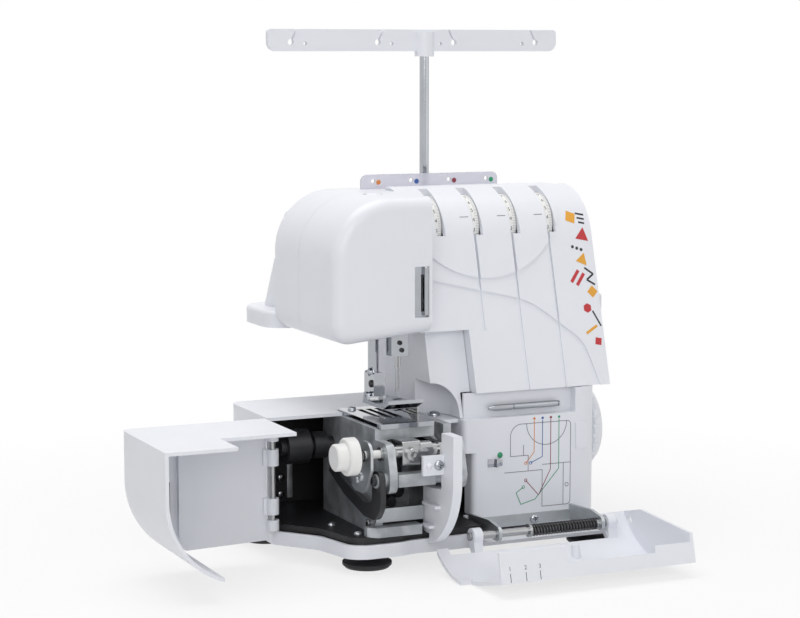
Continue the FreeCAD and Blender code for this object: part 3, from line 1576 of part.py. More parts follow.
def make_cutting_dial():
    """Cutting width dial with its screw, the spring behind it and the sheet bracket that carries it."""
    y, z = S.holder_y, S.holder_z
    left = S.cut_dial_left
    grip = turned("x", [
        (0, 0),
        (S.cut_grip_radius - 1, 0),
        (S.cut_grip_radius, 1),
        (S.cut_grip_radius, S.cut_dial_width / 2),
        (S.cut_dial_radius - 1, S.cut_dial_width / 2),
        (S.cut_dial_radius, S.cut_dial_width / 2 + 1),
        (S.cut_dial_radius, S.cut_dial_width),
        (0, S.cut_dial_width),
    ], left, y, z)
    screw = rod("x", S.cut_screw, left + S.cut_dial_width - 1, S.bed_block_left + 8, y, z)
    node("cutting_dial", fuse(grip, screw))
    plate_x = S.bed_block_left - 13
    face = prism("x", [
        (y - 10, z - 9, 6),
        (y - 10, z + 10, 9),
        (y + 10, z + 10, 9),
        (y + 12, z - 10),
        (y + 24, z - 12),
        (y + 24, z - 26),
        (y + 18, z - 28, 5),
        (y + 1, z - 28, 8),
    ], plate_x, plate_x + 2)
    foot = box(plate_x, S.bed_block_left, y + 22, y + 24, z - 26, z - 12)
    hole = rod("x", S.cut_screw + S.running, plate_x - 1, plate_x + 3, y, z)
    node("knife_bracket", cut(fuse(face, foot), hole))
    room = plate_x - (left + S.cut_dial_width)
    spring = doc.addObject("Part::Feature", "DialSpring")
    spring.Shape = coil(float(S.cut_screw + S.spring_wire / 2 + 0.4), float(S.spring_wire),
                        float(room - 0.4), 3)
    spring.Placement = Placement(Vector(float(left + S.cut_dial_width + 0.2), float(y), float(z)),
                                 TURN_TO["x"])
    node("dial_spring", spring)


def make_loopers():
    z = S.looper_z
    x = S.lower_looper_x
    shaft = rod("y", S.looper_shaft, S.needle_y - 33, S.needle_y + 21, x, z)
    arm = prism("y", [
        (x - 6, z - 6, 4),
        (x + 6, z - 6, 4),
        (x + 4, z + 20),
        (x + 5, z + 29, 3),
        (x + 15, z + 32),
        (x + 15, z + 33.5),
        (x - 3, z + 35, 6),
    ], S.needle_y - 11, S.needle_y - 6)
    node("lower_looper", fuse(shaft, arm))
    x = S.upper_looper_x
    shaft = rod("y", S.looper_shaft, S.needle_y + 1, S.needle_y + 21, x, z)
    arm = prism("y", [
        (x + 6, z - 6, 4),
        (x - 6, z - 6, 4),
        (x - 4, z + 22),
        (x - 6, z + 32, 3),
        (x - 13, z + 36),
        (x - 13, z + 37.5),
        (x + 2, z + 38, 6),
    ], S.needle_y + 6, S.needle_y + 10)
    node("upper_looper", fuse(shaft, arm))

    bar_low = S.shaft_z + S.shaft_radius + 4
    rows = feed_rows()
    spine = box(rows[1] - 1, rows[1] + 4, S.needle_y - 30, S.plate_back + 30, bar_low, bar_low + 5)
    carrier = box(rows[0], rows[2] + 3, S.needle_y - 24, S.needle_y + 10, bar_low + 5, bar_low + 10)
    teeth = []
    for x in rows:
        profile = [(S.needle_y - 24, bar_low + 9), (S.needle_y - 24, PLATE_TOP - 1.2)]
        for index in range(11):
            profile.append((S.needle_y - 23 + 3 * index, PLATE_TOP - 0.2))
            profile.append((S.needle_y - 21 + 3 * index, PLATE_TOP - 1.2))
        profile += [(S.needle_y + 10, PLATE_TOP - 1.2), (S.needle_y + 10, bar_low + 9)]
        teeth.append(prism("x", profile, x, x + 3))
    node("feed_dogs", fuse(spine, carrier, *teeth))


# Spool stand and antenna

def make_stand():
    left = S.tray_left
    right = S.tray_right
    top = S.tray_low + S.tray_height
    tray = prism("z", [
        (left, S.body_back, S.tray_corner),
        (right, S.body_back, S.tray_corner),
        (right, S.tray_back, 22),
        (left, S.tray_back, 22),
    ], S.tray_low, top)
    rim = edges_at(tray.Shape, z=top)
    round_body(tray, 3, rim)
    well = prism("z", [
        (left + S.wall, S.body_back + S.wall, S.tray_corner - S.wall),
        (right - S.wall, S.body_back + S.wall, S.tray_corner - S.wall),
        (right - S.wall, S.tray_back - S.wall, 19.5),
        (left + S.wall, S.tray_back - S.wall, 19.5),
    ], S.tray_low - 1, top - S.wall)
    places = [S.tray_x + S.spool_pitch * (index - 1.5) for index in range(4)]
    seats = [rod("z", S.spool_pin + 3, S.tray_low, top - 1, x, S.spool_y) for x in places]
    seats.append(rod("z", S.pole_radius + 5, S.tray_low, top - 1, S.tray_x, S.spool_y))
    pole_hole = rod("z", S.pole_radius + 1.05, S.tray_low + 2, top + 1, S.tray_x, S.spool_y)
    node("spool_tray", cut(fuse(cut(tray, well), *seats), pole_hole))
    pins, cones = [], []
    for x in places:
        stem = rod("z", S.spool_pin, top, S.spool_pin_top - 3, x, S.spool_y)
        tip = cone("z", S.spool_pin, S.spool_pin - 1.5, S.spool_pin_top - 3, S.spool_pin_top, x, S.spool_y)
        pins.append(fuse(stem, tip))
        cones.append(spool_cone(x, top))
    node("spool_pins", group(*pins))
    node("spool_cones", group(*cones))

    tube = rod("z", S.pole_radius + 1, S.tray_low + 2, S.tube_top, S.tray_x, S.spool_y)
    bore = rod("z", S.pole_radius + S.running, S.tray_low + 4, S.tube_top + 1, S.tray_x, S.spool_y)
    node("antenna_tube", cut(tube, bore))
    node("antenna_rod", rod("z", S.pole_radius, S.tube_top - 15, S.bar_low + 3, S.tray_x, S.spool_y))
    front = S.spool_y - S.bar_thick / 2
    back = S.spool_y + S.bar_thick / 2
    high = S.bar_low + S.bar_height
    middle = S.tray_x + S.bar_shift
    bar = prism("y", [
        (middle - S.bar_half, S.bar_low, 7),
        (middle + S.bar_half, S.bar_low, 7),
        (middle + S.bar_half, high, 3),
        (middle - S.bar_half, high, 3),
    ], front, back)
    boss = rod("z", S.pole_radius + 4, S.bar_low - 4, high - 2, S.tray_x, S.spool_y)
    socket = rod("z", S.pole_radius + 0.02, S.bar_low - 5, S.bar_low + 3, S.tray_x, S.spool_y)
    eyes = []
    for side in (-1, 1):
        for reach in (S.eye_outer, S.eye_inner):
            x = middle + reach * side
            eyes.append(rod("y", 2.4, front - 1, back + 1, x, high - 10))
            eyes.append(prism("y", [
                (x - 0.8, high - 10),
                (x + 0.8, high - 10),
                (x + 0.8 - 5 * side, high + 1),
                (x - 0.8 - 5 * side, high + 1),
            ], front - 1, back + 1))
            eyes.append(rod("y", 1.5, front - 1, back + 1, x - 12 * side, high - 11))
    node("antenna_bar", cut(fuse(bar, boss), socket, *eyes))


def spool_cone(x, low):
    """Cone that holds a cone of thread, with four long slots in its wall."""
    bore = S.spool_pin + 0.1
    height = S.spool_cone_top - low
    cone_body = turned("z", [
        (bore, 0),
        (S.spool_cone_base, 0),
        (S.spool_cone_base, 2),
        (S.spool_cone_tip, height - 1.5),
        (S.spool_cone_tip - 1.5, height),
        (bore, height),
    ], x, S.spool_y, low)
    inner = bore + 1.5
    outer = S.spool_cone_base
    half = 1
    slots = []
    for across in (-1, 1):
        for along in (-1, 1):
            slots.append(prism("z", [
                (x + across * inner - half, S.spool_y + along * inner + across * along * half),
                (x + across * inner + half, S.spool_y + along * inner - across * along * half),
                (x + across * outer + half, S.spool_y + along * outer - across * along * half),
                (x + across * outer - half, S.spool_y + along * outer + across * along * half),
            ], low + 3, S.spool_cone_top - 6))
    return cut(cone_body, *slots)


def finish():
    """Stops on any failed object, then writes one file for each piece."""
    doc.recompute()
    for thing in doc.Objects:
        if "Invalid" in thing.State or "Error" in thing.State:
            raise SystemExit("failed object: %s %s %s" % (thing.Name, thing.Label, thing.State))
    for thing in NODES:
        if thing.Shape.isNull() or not thing.Shape.isValid() or not thing.Shape.Solids:
            raise SystemExit("bad shape: %s" % thing.Label)
    os.makedirs("parts", exist_ok=True)
    for thing in NODES:
        thing.Shape.exportStep("parts/%s.step" % thing.Label)
    print("%d pieces written" % len(NODES))


make_base()
make_frame()
make_bed_cover()
make_needle_plate()
make_door()
make_looper_cover()
make_cover_bracket()
make_drive()
make_front_housing()
make_rear_housing()
make_face_cover()
make_lower_body()
make_tension()
make_needle_and_foot()
make_knives()
make_loopers()
make_stand()
finish()
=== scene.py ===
import json
import math

import bmesh
import bpy
from bpy.props import FloatProperty, FloatVectorProperty, IntProperty, PointerProperty
from mathutils import Matrix, Vector


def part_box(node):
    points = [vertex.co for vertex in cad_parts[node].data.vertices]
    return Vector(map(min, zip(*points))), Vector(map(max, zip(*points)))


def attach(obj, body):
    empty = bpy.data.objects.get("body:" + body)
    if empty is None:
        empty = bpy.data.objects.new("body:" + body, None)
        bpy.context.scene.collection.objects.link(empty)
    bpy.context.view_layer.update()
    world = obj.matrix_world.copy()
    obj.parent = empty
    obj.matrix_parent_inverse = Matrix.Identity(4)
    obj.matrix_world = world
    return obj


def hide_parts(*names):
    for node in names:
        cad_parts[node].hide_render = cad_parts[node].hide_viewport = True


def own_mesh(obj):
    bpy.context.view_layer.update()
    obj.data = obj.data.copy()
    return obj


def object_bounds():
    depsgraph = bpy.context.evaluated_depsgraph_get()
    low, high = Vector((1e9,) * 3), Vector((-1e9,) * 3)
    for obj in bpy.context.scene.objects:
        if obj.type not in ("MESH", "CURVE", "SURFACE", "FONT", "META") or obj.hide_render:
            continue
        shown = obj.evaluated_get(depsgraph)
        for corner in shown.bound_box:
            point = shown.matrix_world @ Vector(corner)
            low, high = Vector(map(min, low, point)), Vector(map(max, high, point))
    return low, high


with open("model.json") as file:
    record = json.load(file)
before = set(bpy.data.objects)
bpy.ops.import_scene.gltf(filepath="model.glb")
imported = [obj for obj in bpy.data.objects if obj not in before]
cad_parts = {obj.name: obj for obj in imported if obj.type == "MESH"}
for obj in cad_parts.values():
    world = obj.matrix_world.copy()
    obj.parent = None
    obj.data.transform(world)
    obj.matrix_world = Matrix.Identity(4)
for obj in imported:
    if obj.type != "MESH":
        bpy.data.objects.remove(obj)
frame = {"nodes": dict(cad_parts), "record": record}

bl_info = {
    "name": "Overlock machine dresser",
    "version": (1, 0, 0),
    "blender": (4, 5, 0),
    "location": "3D View > Sidebar > Overlock",
    "description": "Finishes the packed overlock machine: materials, marks, fasteners, guides and the stage",
    "category": "Object",
}

NODES = frame["nodes"]
CAD_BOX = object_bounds()
MM = 0.001
FORWARD = Vector((0, -1, 0))
LEFT = Vector((-1, 0, 0))
UP = Vector((0, 0, 1))
DIALS = ("left_needle_dial", "right_needle_dial", "upper_looper_dial", "lower_looper_dial")


def linear(code):
    """Turns an sRGB hex colour to the linear values that Blender works in."""
    channels = [int(code[place:place + 2], 16) / 255 for place in (1, 3, 5)]
    return [c / 12.92 if c <= 0.04045 else ((c + 0.055) / 1.055) ** 2.4 for c in channels]


# Values that a user may change

def colour(name, description, code):
    return FloatVectorProperty(name=name, description=description, default=linear(code), size=3, min=0, max=1,
                               subtype="COLOR")


def length(name, description, millimetres):
    return FloatProperty(name=name, description=description, default=millimetres * MM, min=0, unit="LENGTH",
                         precision=5)


class OverlockFinish(bpy.types.PropertyGroup):
    """Colours of the machine's materials."""
    shell: colour("Shell", "White moulded housings", "#EAECF2")
    dial: colour("Dials", "White dials", "#F0F0EE")
    black: colour("Black plastic", "Latch, switch and inlet", "#191A1C")
    rubber: colour("Rubber", "Feet", "#202124")
    casting: colour("Casting", "Grey die casting of the looper bed", "#C2C6CA")
    frame_paint: colour("Frame paint", "Black paint on the frame", "#17181A")
    steel: colour("Steel", "Ground steel", "#B4B5B6")
    zinc: colour("Zinc", "Zinc plated sheet", "#C3C7C9")
    chrome: colour("Chrome", "Bright chrome plating", "#B4B7BC")
    oxide: colour("Black oxide", "Blackened steel", "#2A2B2E")
    clear: colour("Clear guide", "Pale lilac polycarbonate", "#ECECF6")
    ink: colour("Ink", "Printed marks and numbers", "#23262B")
    grey: colour("Grey print", "Thin lines of the charts", "#6E7379")
    red: colour("Red print", "Red in the panel print", "#C43238")
    yellow: colour("Yellow print", "Yellow in the panel print", "#EBAA3C")
    orange: colour("Orange mark", "First thread path", "#E08A4A")
    blue: colour("Blue mark", "Second thread path", "#3F62A8")
    wine: colour("Dark red mark", "Third thread path", "#8E3348")
    green: colour("Green mark", "Fourth thread path", "#2F9A6E")


class OverlockMarks(bpy.types.PropertyGroup):
    """Sizes of the marks and the small pieces."""
    coat: length("Coat", "Thickness of the printed marks", 0.12)
    line: length("Line", "Width of the thin printed lines", 0.45)
    digit: length("Digit", "Height of the numbers on the dials", 2.9)
    digit_step: FloatProperty(name="Digit step", description="Angle between the numbers on a dial",
                              default=math.radians(18), subtype="ANGLE")
    digit_count: IntProperty(name="Digits", description="Numbers on a dial, from 1", default=9, min=1)
    tick_count: IntProperty(name="Ticks", description="Fine lines round a dial's right half", default=120,
                            min=4)
    dot: length("Dot", "Radius of the coloured dots on the thread guide plate", 1.9)
    guide_bar: length("Guide bar", "Radius of the polished thread guide bar", 2.3)
    spring_wire: length("Spring wire", "Thickness of the hinge spring's wire", 1.2)
    spring_turns: IntProperty(name="Spring turns", description="Turns of the hinge spring", default=22, min=1)
    cover_travel: length("Cover travel", "How far the looper cover slides along its hinge", 8)


class OverlockStage(bpy.types.PropertyGroup):
    """Camera, floor and light."""
    floor_half: FloatProperty(name="Floor", description="Half the floor's side", default=6.0, unit="LENGTH")
    lens: FloatProperty(name="Lens", description="Camera lens on a 36 mm sensor", default=95.4,
                        subtype="DISTANCE_CAMERA")
    camera_place: FloatVectorProperty(name="Camera place", description="Where the camera stands",
                                      default=(-0.6513, -1.4020, 0.3694), subtype="TRANSLATION")
    camera_turn: FloatProperty(name="Camera turn", description="Turn to the right of straight ahead",
                               default=math.radians(24.6), subtype="ANGLE")
    camera_drop: FloatProperty(name="Camera drop", description="Tilt below level",
                               default=math.radians(6.91), subtype="ANGLE")
    key_power: FloatProperty(name="Key light", description="Power of the large soft light", default=12, min=0)
    fill_power: FloatProperty(name="Fill light", description="Power of the light on the other side",
                              default=3, min=0)
    top_power: FloatProperty(name="Top light", description="Power of the light overhead", default=20, min=0)
    ambient: FloatProperty(name="Ambient", description="Strength of the light from all round", default=0.34,
                           min=0)


# Materials

def add(tree, kind, inputs, **settings):
    """Adds a node with its settings. An input takes a value, a socket, or a node's first output in use."""
    made = tree.nodes.new(kind)
    for name, value in settings.items():
        setattr(made, name, value)
    for socket, value in inputs.items():
        if isinstance(value, bpy.types.Node):
            value = next(output for output in value.outputs if output.enabled)
        if isinstance(value, bpy.types.NodeSocket):
            tree.links.new(value, made.inputs[socket])
        else:
            made.inputs[socket].default_value = value
    return made


def opaque(rgb, share=1.0):
    """A colour with alpha, darkened to a share of its light."""
    return (*[channel * share for channel in rgb], 1.0)


def cells(size_mm):
    """Noise scale whose blotches have a size in millimetres."""
    return 1 / (size_mm * MM)


def blank(name):
    """A new material's node tree with nothing in it."""
    material = bpy.data.materials.new(name)
    material.use_nodes = True
    material.node_tree.nodes.clear()
    return material, material.node_tree


def moulded_plastic(name, tone, gloss, grain_mm, depth_mm):
    # Injection moulded plastic: an even colour, a soft sheen that drifts, and the tooth of the mould's wall.
    material, tree = blank(name)
    where = add(tree, "ShaderNodeTexCoord", {}).outputs["Object"]
    drift = add(tree, "ShaderNodeTexNoise", {"Vector": where, "Scale": cells(40), "Detail": 2.0})
    patch = add(tree, "ShaderNodeTexNoise", {"Vector": where, "Scale": cells(14), "Detail": 3.0})
    tooth = add(tree, "ShaderNodeTexNoise", {"Vector": where, "Scale": cells(grain_mm), "Detail": 2.0})
    tint = add(tree, "ShaderNodeMix", {"Factor": drift, "A": opaque(tone), "B": opaque(tone, 0.96)},
               data_type="RGBA")
    sheen = add(tree, "ShaderNodeMapRange", {
        "Value": patch, "From Min": 0.3, "From Max": 0.7, "To Min": gloss - 0.04, "To Max": gloss + 0.05,
    })
    skin = add(tree, "ShaderNodeBump", {"Height": tooth, "Strength": 1.0, "Distance": depth_mm * MM})
    shader = add(tree, "ShaderNodeBsdfPrincipled", {
        "Base Color": tint, "Roughness": sheen, "IOR": 1.53, "Normal": skin,
    })
    add(tree, "ShaderNodeOutputMaterial", {"Surface": shader})
    return material


def drawn_metal(name, tone, gloss, stretch, grain_mm, depth_mm):
    # Ground, rolled or plated metal: a mirror base broken by fine streaks that run one way.
    material, tree = blank(name)
    where = add(tree, "ShaderNodeTexCoord", {}).outputs["Object"]
    laid = add(tree, "ShaderNodeMapping", {"Vector": where, "Scale": stretch})
    streaks = add(tree, "ShaderNodeTexNoise", {"Vector": laid, "Scale": cells(grain_mm), "Detail": 4.0})
    stain = add(tree, "ShaderNodeTexNoise", {"Vector": where, "Scale": cells(9), "Detail": 3.0})
    tint = add(tree, "ShaderNodeMix", {"Factor": stain, "A": opaque(tone), "B": opaque(tone, 0.78)},
               data_type="RGBA")
    sheen = add(tree, "ShaderNodeMapRange", {
        "Value": streaks, "From Min": 0.3, "From Max": 0.7, "To Min": gloss * 0.7, "To Max": gloss * 1.35,
    })
    skin = add(tree, "ShaderNodeBump", {"Height": streaks, "Strength": 1.0, "Distance": depth_mm * MM})
    shader = add(tree, "ShaderNodeBsdfPrincipled", {
        "Base Color": tint, "Metallic": 1.0, "Roughness": sheen, "Normal": skin,
    })
    add(tree, "ShaderNodeOutputMaterial", {"Surface": shader})
    return material


def die_cast_metal(name, tone):
    # Die-cast aluminium: half metal, half its dull grey oxide skin, with patches from the flow of the melt.
    material, tree = blank(name)
    where = add(tree, "ShaderNodeTexCoord", {}).outputs["Object"]
    flow = add(tree, "ShaderNodeTexNoise", {
        "Vector": where, "Scale": cells(16), "Detail": 4.0, "Distortion": 0.6,
    })
    grit = add(tree, "ShaderNodeTexNoise", {"Vector": where, "Scale": cells(0.8), "Detail": 4.0})
    spread = add(tree, "ShaderNodeMapRange", {"Value": flow, "From Min": 0.35, "From Max": 0.65})
    tint = add(tree, "ShaderNodeMix", {"Factor": spread, "A": opaque(tone), "B": opaque(tone, 0.6)},
               data_type="RGBA")
    sheen = add(tree, "ShaderNodeMapRange", {
        "Value": grit, "From Min": 0.3, "From Max": 0.7, "To Min": 0.34, "To Max": 0.52,
    })
    skin = add(tree, "ShaderNodeBump", {"Height": grit, "Strength": 1.0, "Distance": 0.04 * MM})
    shader = add(tree, "ShaderNodeBsdfPrincipled", {
        "Base Color": tint, "Metallic": 0.55, "Roughness": sheen, "Normal": skin,
    })
    add(tree, "ShaderNodeOutputMaterial", {"Surface": shader})
    return material


def dark_coat(name, tone, gloss, grain_mm, depth_mm):
    # Black paint, black oxide or rubber: nearly black, with a broken gloss over small bumps.
    material, tree = blank(name)
    where = add(tree, "ShaderNodeTexCoord", {}).outputs["Object"]
    fade = add(tree, "ShaderNodeTexNoise", {"Vector": where, "Scale": cells(11), "Detail": 4.0})
    bumps = add(tree, "ShaderNodeTexNoise", {"Vector": where, "Scale": cells(grain_mm), "Detail": 4.0})
    tint = add(tree, "ShaderNodeMix", {"Factor": fade, "A": opaque(tone), "B": opaque(tone, 0.55)},
               data_type="RGBA")
    sheen = add(tree, "ShaderNodeMapRange", {
        "Value": bumps, "From Min": 0.3, "From Max": 0.7, "To Min": gloss - 0.08, "To Max": gloss + 0.1,
    })
    skin = add(tree, "ShaderNodeBump", {"Height": bumps, "Strength": 1.0, "Distance": depth_mm * MM})
    shader = add(tree, "ShaderNodeBsdfPrincipled", {
        "Base Color": tint, "Roughness": sheen, "IOR": 1.5, "Normal": skin,
    })
    add(tree, "ShaderNodeOutputMaterial", {"Surface": shader})
    return material


def clear_sheet(name, tone):
    # Polycarbonate sheet: pale, glossy and mostly clear, so that what stands behind it shows as a tint.
    material, tree = blank(name)
    where = add(tree, "ShaderNodeTexCoord", {}).outputs["Object"]
    haze = add(tree, "ShaderNodeTexNoise", {"Vector": where, "Scale": cells(7), "Detail": 3.0})
    tint = add(tree, "ShaderNodeMix", {"Factor": haze, "A": opaque(tone), "B": opaque(tone, 0.93)},
               data_type="RGBA")
    sheen = add(tree, "ShaderNodeMapRange", {
        "Value": haze, "From Min": 0.3, "From Max": 0.7, "To Min": 0.08, "To Max": 0.16,
    })
    shader = add(tree, "ShaderNodeBsdfPrincipled", {
        "Base Color": tint, "Roughness": sheen, "IOR": 1.58, "Transmission Weight": 0.45,
    })
    add(tree, "ShaderNodeOutputMaterial", {"Surface": shader})
    return material


def screen_ink(name, tone):
    # Screen printed ink: one colour with the faint mottle and dull gloss of a thin coat.
    material, tree = blank(name)
    where = add(tree, "ShaderNodeTexCoord", {}).outputs["Object"]
    coat = add(tree, "ShaderNodeTexNoise", {"Vector": where, "Scale": cells(0.9), "Detail": 2.0})
    tint = add(tree, "ShaderNodeMix", {"Factor": coat, "A": opaque(tone), "B": opaque(tone, 0.86)},
               data_type="RGBA")
    sheen = add(tree, "ShaderNodeMapRange", {
        "Value": coat, "From Min": 0.3, "From Max": 0.7, "To Min": 0.34, "To Max": 0.46,
    })
    shader = add(tree, "ShaderNodeBsdfPrincipled", {"Base Color": tint, "Roughness": sheen, "IOR": 1.5})
    add(tree, "ShaderNodeOutputMaterial", {"Surface": shader})
    return material


MATERIALS = {}


def make_materials(finish):
    """One material for each slot of the record, and the inks."""
    along_x = (0.06, 1.0, 1.0)
    along_z = (1.0, 1.0, 0.06)
    MATERIALS.update({
        "white_shell": moulded_plastic("moulded_abs_white", finish.shell, 0.34, 1.4, 0.0012),
        "tray_plastic": moulded_plastic("moulded_abs_tray", finish.shell, 0.36, 1.2, 0.002),
        "dial_plastic": moulded_plastic("moulded_pom_dial", finish.dial, 0.36, 1.0, 0.002),
        "black_plastic": moulded_plastic("moulded_abs_black", finish.black, 0.4, 0.7, 0.012),
        "rubber": dark_coat("moulded_rubber", finish.rubber, 0.62, 0.6, 0.05),
        "black_casting": dark_coat("painted_casting", finish.frame_paint, 0.46, 1.2, 0.06),
        "dark_steel": dark_coat("black_oxide_steel", finish.oxide, 0.38, 0.9, 0.02),
        "casting": die_cast_metal("die_cast_aluminium", finish.casting),
        "steel": drawn_metal("ground_steel", finish.steel, 0.19, along_x, 0.4, 0.004),
        "zinc": drawn_metal("zinc_plated_sheet", finish.zinc, 0.42, along_x, 0.5, 0.005),
        "chrome": drawn_metal("chrome_plating", finish.chrome, 0.1, along_z, 0.6, 0.002),
        "clear_plastic": clear_sheet("polycarbonate_sheet", finish.clear),
    })
    for ink in ("ink", "grey", "red", "yellow", "orange", "blue", "wine", "green"):
        MATERIALS[ink] = screen_ink("screen_ink_" + ink, getattr(finish, ink))


# Modelling tools

def only(*pieces):
    """Leaves object mode ready with just these pieces selected, the first one active."""
    if bpy.context.mode != "OBJECT":
        bpy.ops.object.mode_set(mode="OBJECT")
    bpy.ops.object.select_all(action="DESELECT")
    for piece in pieces:
        piece.select_set(True)
    bpy.context.view_layer.objects.active = pieces[0] if pieces else None


def begin(shape, **settings):
    """Adds a primitive with nothing else selected."""
    only()
    getattr(bpy.ops.mesh, "primitive_%s_add" % shape)(**settings)
    return bpy.context.object


def pick(piece, kind, test):
    """In edit mode, selects the edges or faces that pass a test, and nothing else."""
    bpy.ops.object.mode_set(mode="EDIT")
    bpy.ops.mesh.select_mode(type="EDGE" if kind == "edges" else "FACE")
    bpy.ops.mesh.select_all(action="DESELECT")
    mesh = bmesh.from_edit_mesh(piece.data)
    for item in getattr(mesh, kind):
        if test(item):
            item.select_set(True)
    bmesh.update_edit_mesh(piece.data)


def joined(pieces):
    only(*pieces)
    if len(pieces) > 1:
        bpy.ops.object.join()
    return bpy.context.object


def apply_all(piece):
    """Applies the piece's modifiers in order."""
    only(piece)
    for modifier in list(piece.modifiers):
        bpy.ops.object.modifier_apply(modifier=modifier.name)


def settle(piece):
    """Puts the piece's place into its mesh."""
    only(piece)
    bpy.ops.object.transform_apply(location=True, rotation=True, scale=True)


def finish_piece(piece, name, body, slot, ink=None):
    """Names a modelled piece, smooths it, gives it its material and sets it on the body that carries it."""
    settle(piece)
    bpy.ops.object.shade_smooth_by_angle(angle=math.radians(35))
    piece.name = name
    piece.data.name = name
    piece.data.materials.clear()
    piece.data.materials.append(MATERIALS[ink or slot])
    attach(piece, body)
    return piece


def spun(profile, sides):
    """Solid of revolution about Z, drawn as a line of (radius, height) points and spun once round."""
    piece = begin("plane", size=1)
    bpy.ops.object.mode_set(mode="EDIT")
    bpy.ops.mesh.select_mode(type="VERT")
    bpy.ops.mesh.select_all(action="SELECT")
    bpy.ops.mesh.merge(type="CENTER")
    here = Vector((profile[0][0], 0, profile[0][1]))
    bpy.ops.transform.translate(value=here)
    for radius, height in profile[1:]:
        there = Vector((radius, 0, height))
        bpy.ops.mesh.extrude_region_move(TRANSFORM_OT_translate={"value": there - here})
        here = there
    bpy.ops.mesh.select_all(action="SELECT")
    bpy.ops.mesh.spin(steps=sides, angle=2 * math.pi, center=(0, 0, 0), axis=(0, 0, 1))
    bpy.ops.mesh.select_all(action="SELECT")
    bpy.ops.mesh.remove_doubles(threshold=1e-6 * max(radius for radius, _ in profile))
    bpy.ops.mesh.normals_make_consistent(inside=False)
    only(piece)
    return piece


def carved(piece, cutter):
    """Takes a cutter out of a piece."""
    notch = piece.modifiers.new("notch", "BOOLEAN")
    notch.operation = "DIFFERENCE"
    notch.object = cutter
    notch.solver = "EXACT"
    apply_all(piece)
    bpy.data.objects.remove(cutter)
    return piece


def softened(piece, width, segments):
    """Bevels a piece's edges by a width in millimetres."""
    soften = piece.modifiers.new("soften", "BEVEL")
    soften.width = width * MM
    soften.segments = segments
    apply_all(piece)
    return piece


def laid(master, place, way, size, turn=0.0):
    """Copy of a modelled master with a mesh of its own, sized and set with its axis along a direction."""
    copy = master.copy()
    copy.data = master.data.copy()
    bpy.context.scene.collection.objects.link(copy)
    upright = Vector(way).to_track_quat("Z", "Y").to_matrix().to_4x4()
    spin = Matrix.Rotation(turn, 4, "Z")
    copy.data.transform(Matrix.Translation(place) @ upright @ spin @ Matrix.Scale(size, 4))
    return copy


def seat(node, place, way):
    """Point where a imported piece's surface meets a line through a place in millimetres, along a direction."""
    stand_off = 20 * MM
    reach = 60 * MM
    start = Vector(place) * MM + Vector(way) * stand_off
    found, spot, _, _ = NODES[node].ray_cast(start, -Vector(way), distance=reach)
    if not found:
        raise RuntimeError("no surface of %s at %s" % (node, place))
    return spot


# Flat marks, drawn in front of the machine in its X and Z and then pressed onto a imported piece

MARK_Y = -70 * MM


def disc(x, z, radius, corners=40, turn=0.0):
    piece = begin("circle", vertices=corners, radius=radius * MM, fill_type="TRIFAN",
                  location=(x * MM, MARK_Y, z * MM), rotation=(math.pi / 2, turn, 0))
    bpy.ops.object.mode_set(mode="EDIT")
    bpy.ops.mesh.subdivide(number_cuts=3 if corners > 8 else 9)
    settle(piece)
    return piece


def bar(x, z, long, wide, turn=0.0):
    piece = begin("plane", size=1, location=(x * MM, MARK_Y, z * MM), rotation=(math.pi / 2, turn, 0))
    piece.scale = (long * MM, wide * MM, 1)
    bpy.ops.object.mode_set(mode="EDIT")
    bpy.ops.mesh.subdivide(number_cuts=9)
    settle(piece)
    return piece


def line_between(start, end, wide):
    across = Vector(end) - Vector(start)
    middle = (Vector(start) + Vector(end)) / 2
    return bar(middle.x, middle.y, across.length, wide, -math.atan2(across.y, across.x))


def arc_band(x, z, radius, wide, start, sweep):
    """Part of a flat ring, spun from its first edge."""
    piece = begin("plane", size=1)
    pick(piece, "edges", lambda edge: all(vert.co.y > 0 for vert in edge.verts))
    bpy.ops.mesh.delete(type="VERT")
    bpy.ops.mesh.select_all(action="SELECT")
    bpy.ops.transform.translate(value=(0, 0.5, 0))
    settle(piece)
    piece.scale = (wide * MM, 1, 1)
    piece.rotation_euler = (0, -start, 0)
    piece.location = ((x + radius * math.cos(start)) * MM, MARK_Y, (z + radius * math.sin(start)) * MM)
    settle(piece)
    bpy.ops.object.mode_set(mode="EDIT")
    bpy.ops.mesh.select_all(action="SELECT")
    bpy.ops.mesh.spin(steps=24, angle=sweep, center=(x * MM, MARK_Y, z * MM), axis=(0, 1, 0))
    bpy.ops.mesh.select_all(action="SELECT")
    bpy.ops.mesh.normals_make_consistent(inside=False)
    only(piece)
    return piece


def press(pieces, node, name, slot, ink, coat):
    """Joins flat marks of one colour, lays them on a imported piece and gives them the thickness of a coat."""
    marks = joined(pieces)
    pick(marks, "faces", lambda face: face.normal.y > 0)
    bpy.ops.mesh.flip_normals()
    only(marks)
    wrap = marks.modifiers.new("wrap", "SHRINKWRAP")
    wrap.target = NODES[node]
    wrap.wrap_method = "PROJECT"
    wrap.use_project_y = True
    wrap.use_positive_direction = True
    layer = marks.modifiers.new("layer", "SOLIDIFY")
    layer.thickness = coat
    layer.offset = 1
    apply_all(marks)
    return finish_piece(marks, name, "machine", slot, ink)


def number(text, height, frame_of):
    """Number as a flat mesh, set by a matrix."""
    only()
    bpy.ops.object.text_add()
    piece = bpy.context.object
    piece.data.body = text
    piece.data.size = height * 1.4
    piece.data.extrude = 0.02 * MM
    piece.data.align_x = "CENTER"
    piece.data.align_y = "CENTER"
    bpy.ops.object.convert(target="MESH")
    piece = bpy.context.object
    piece.data.transform(frame_of)
    return piece


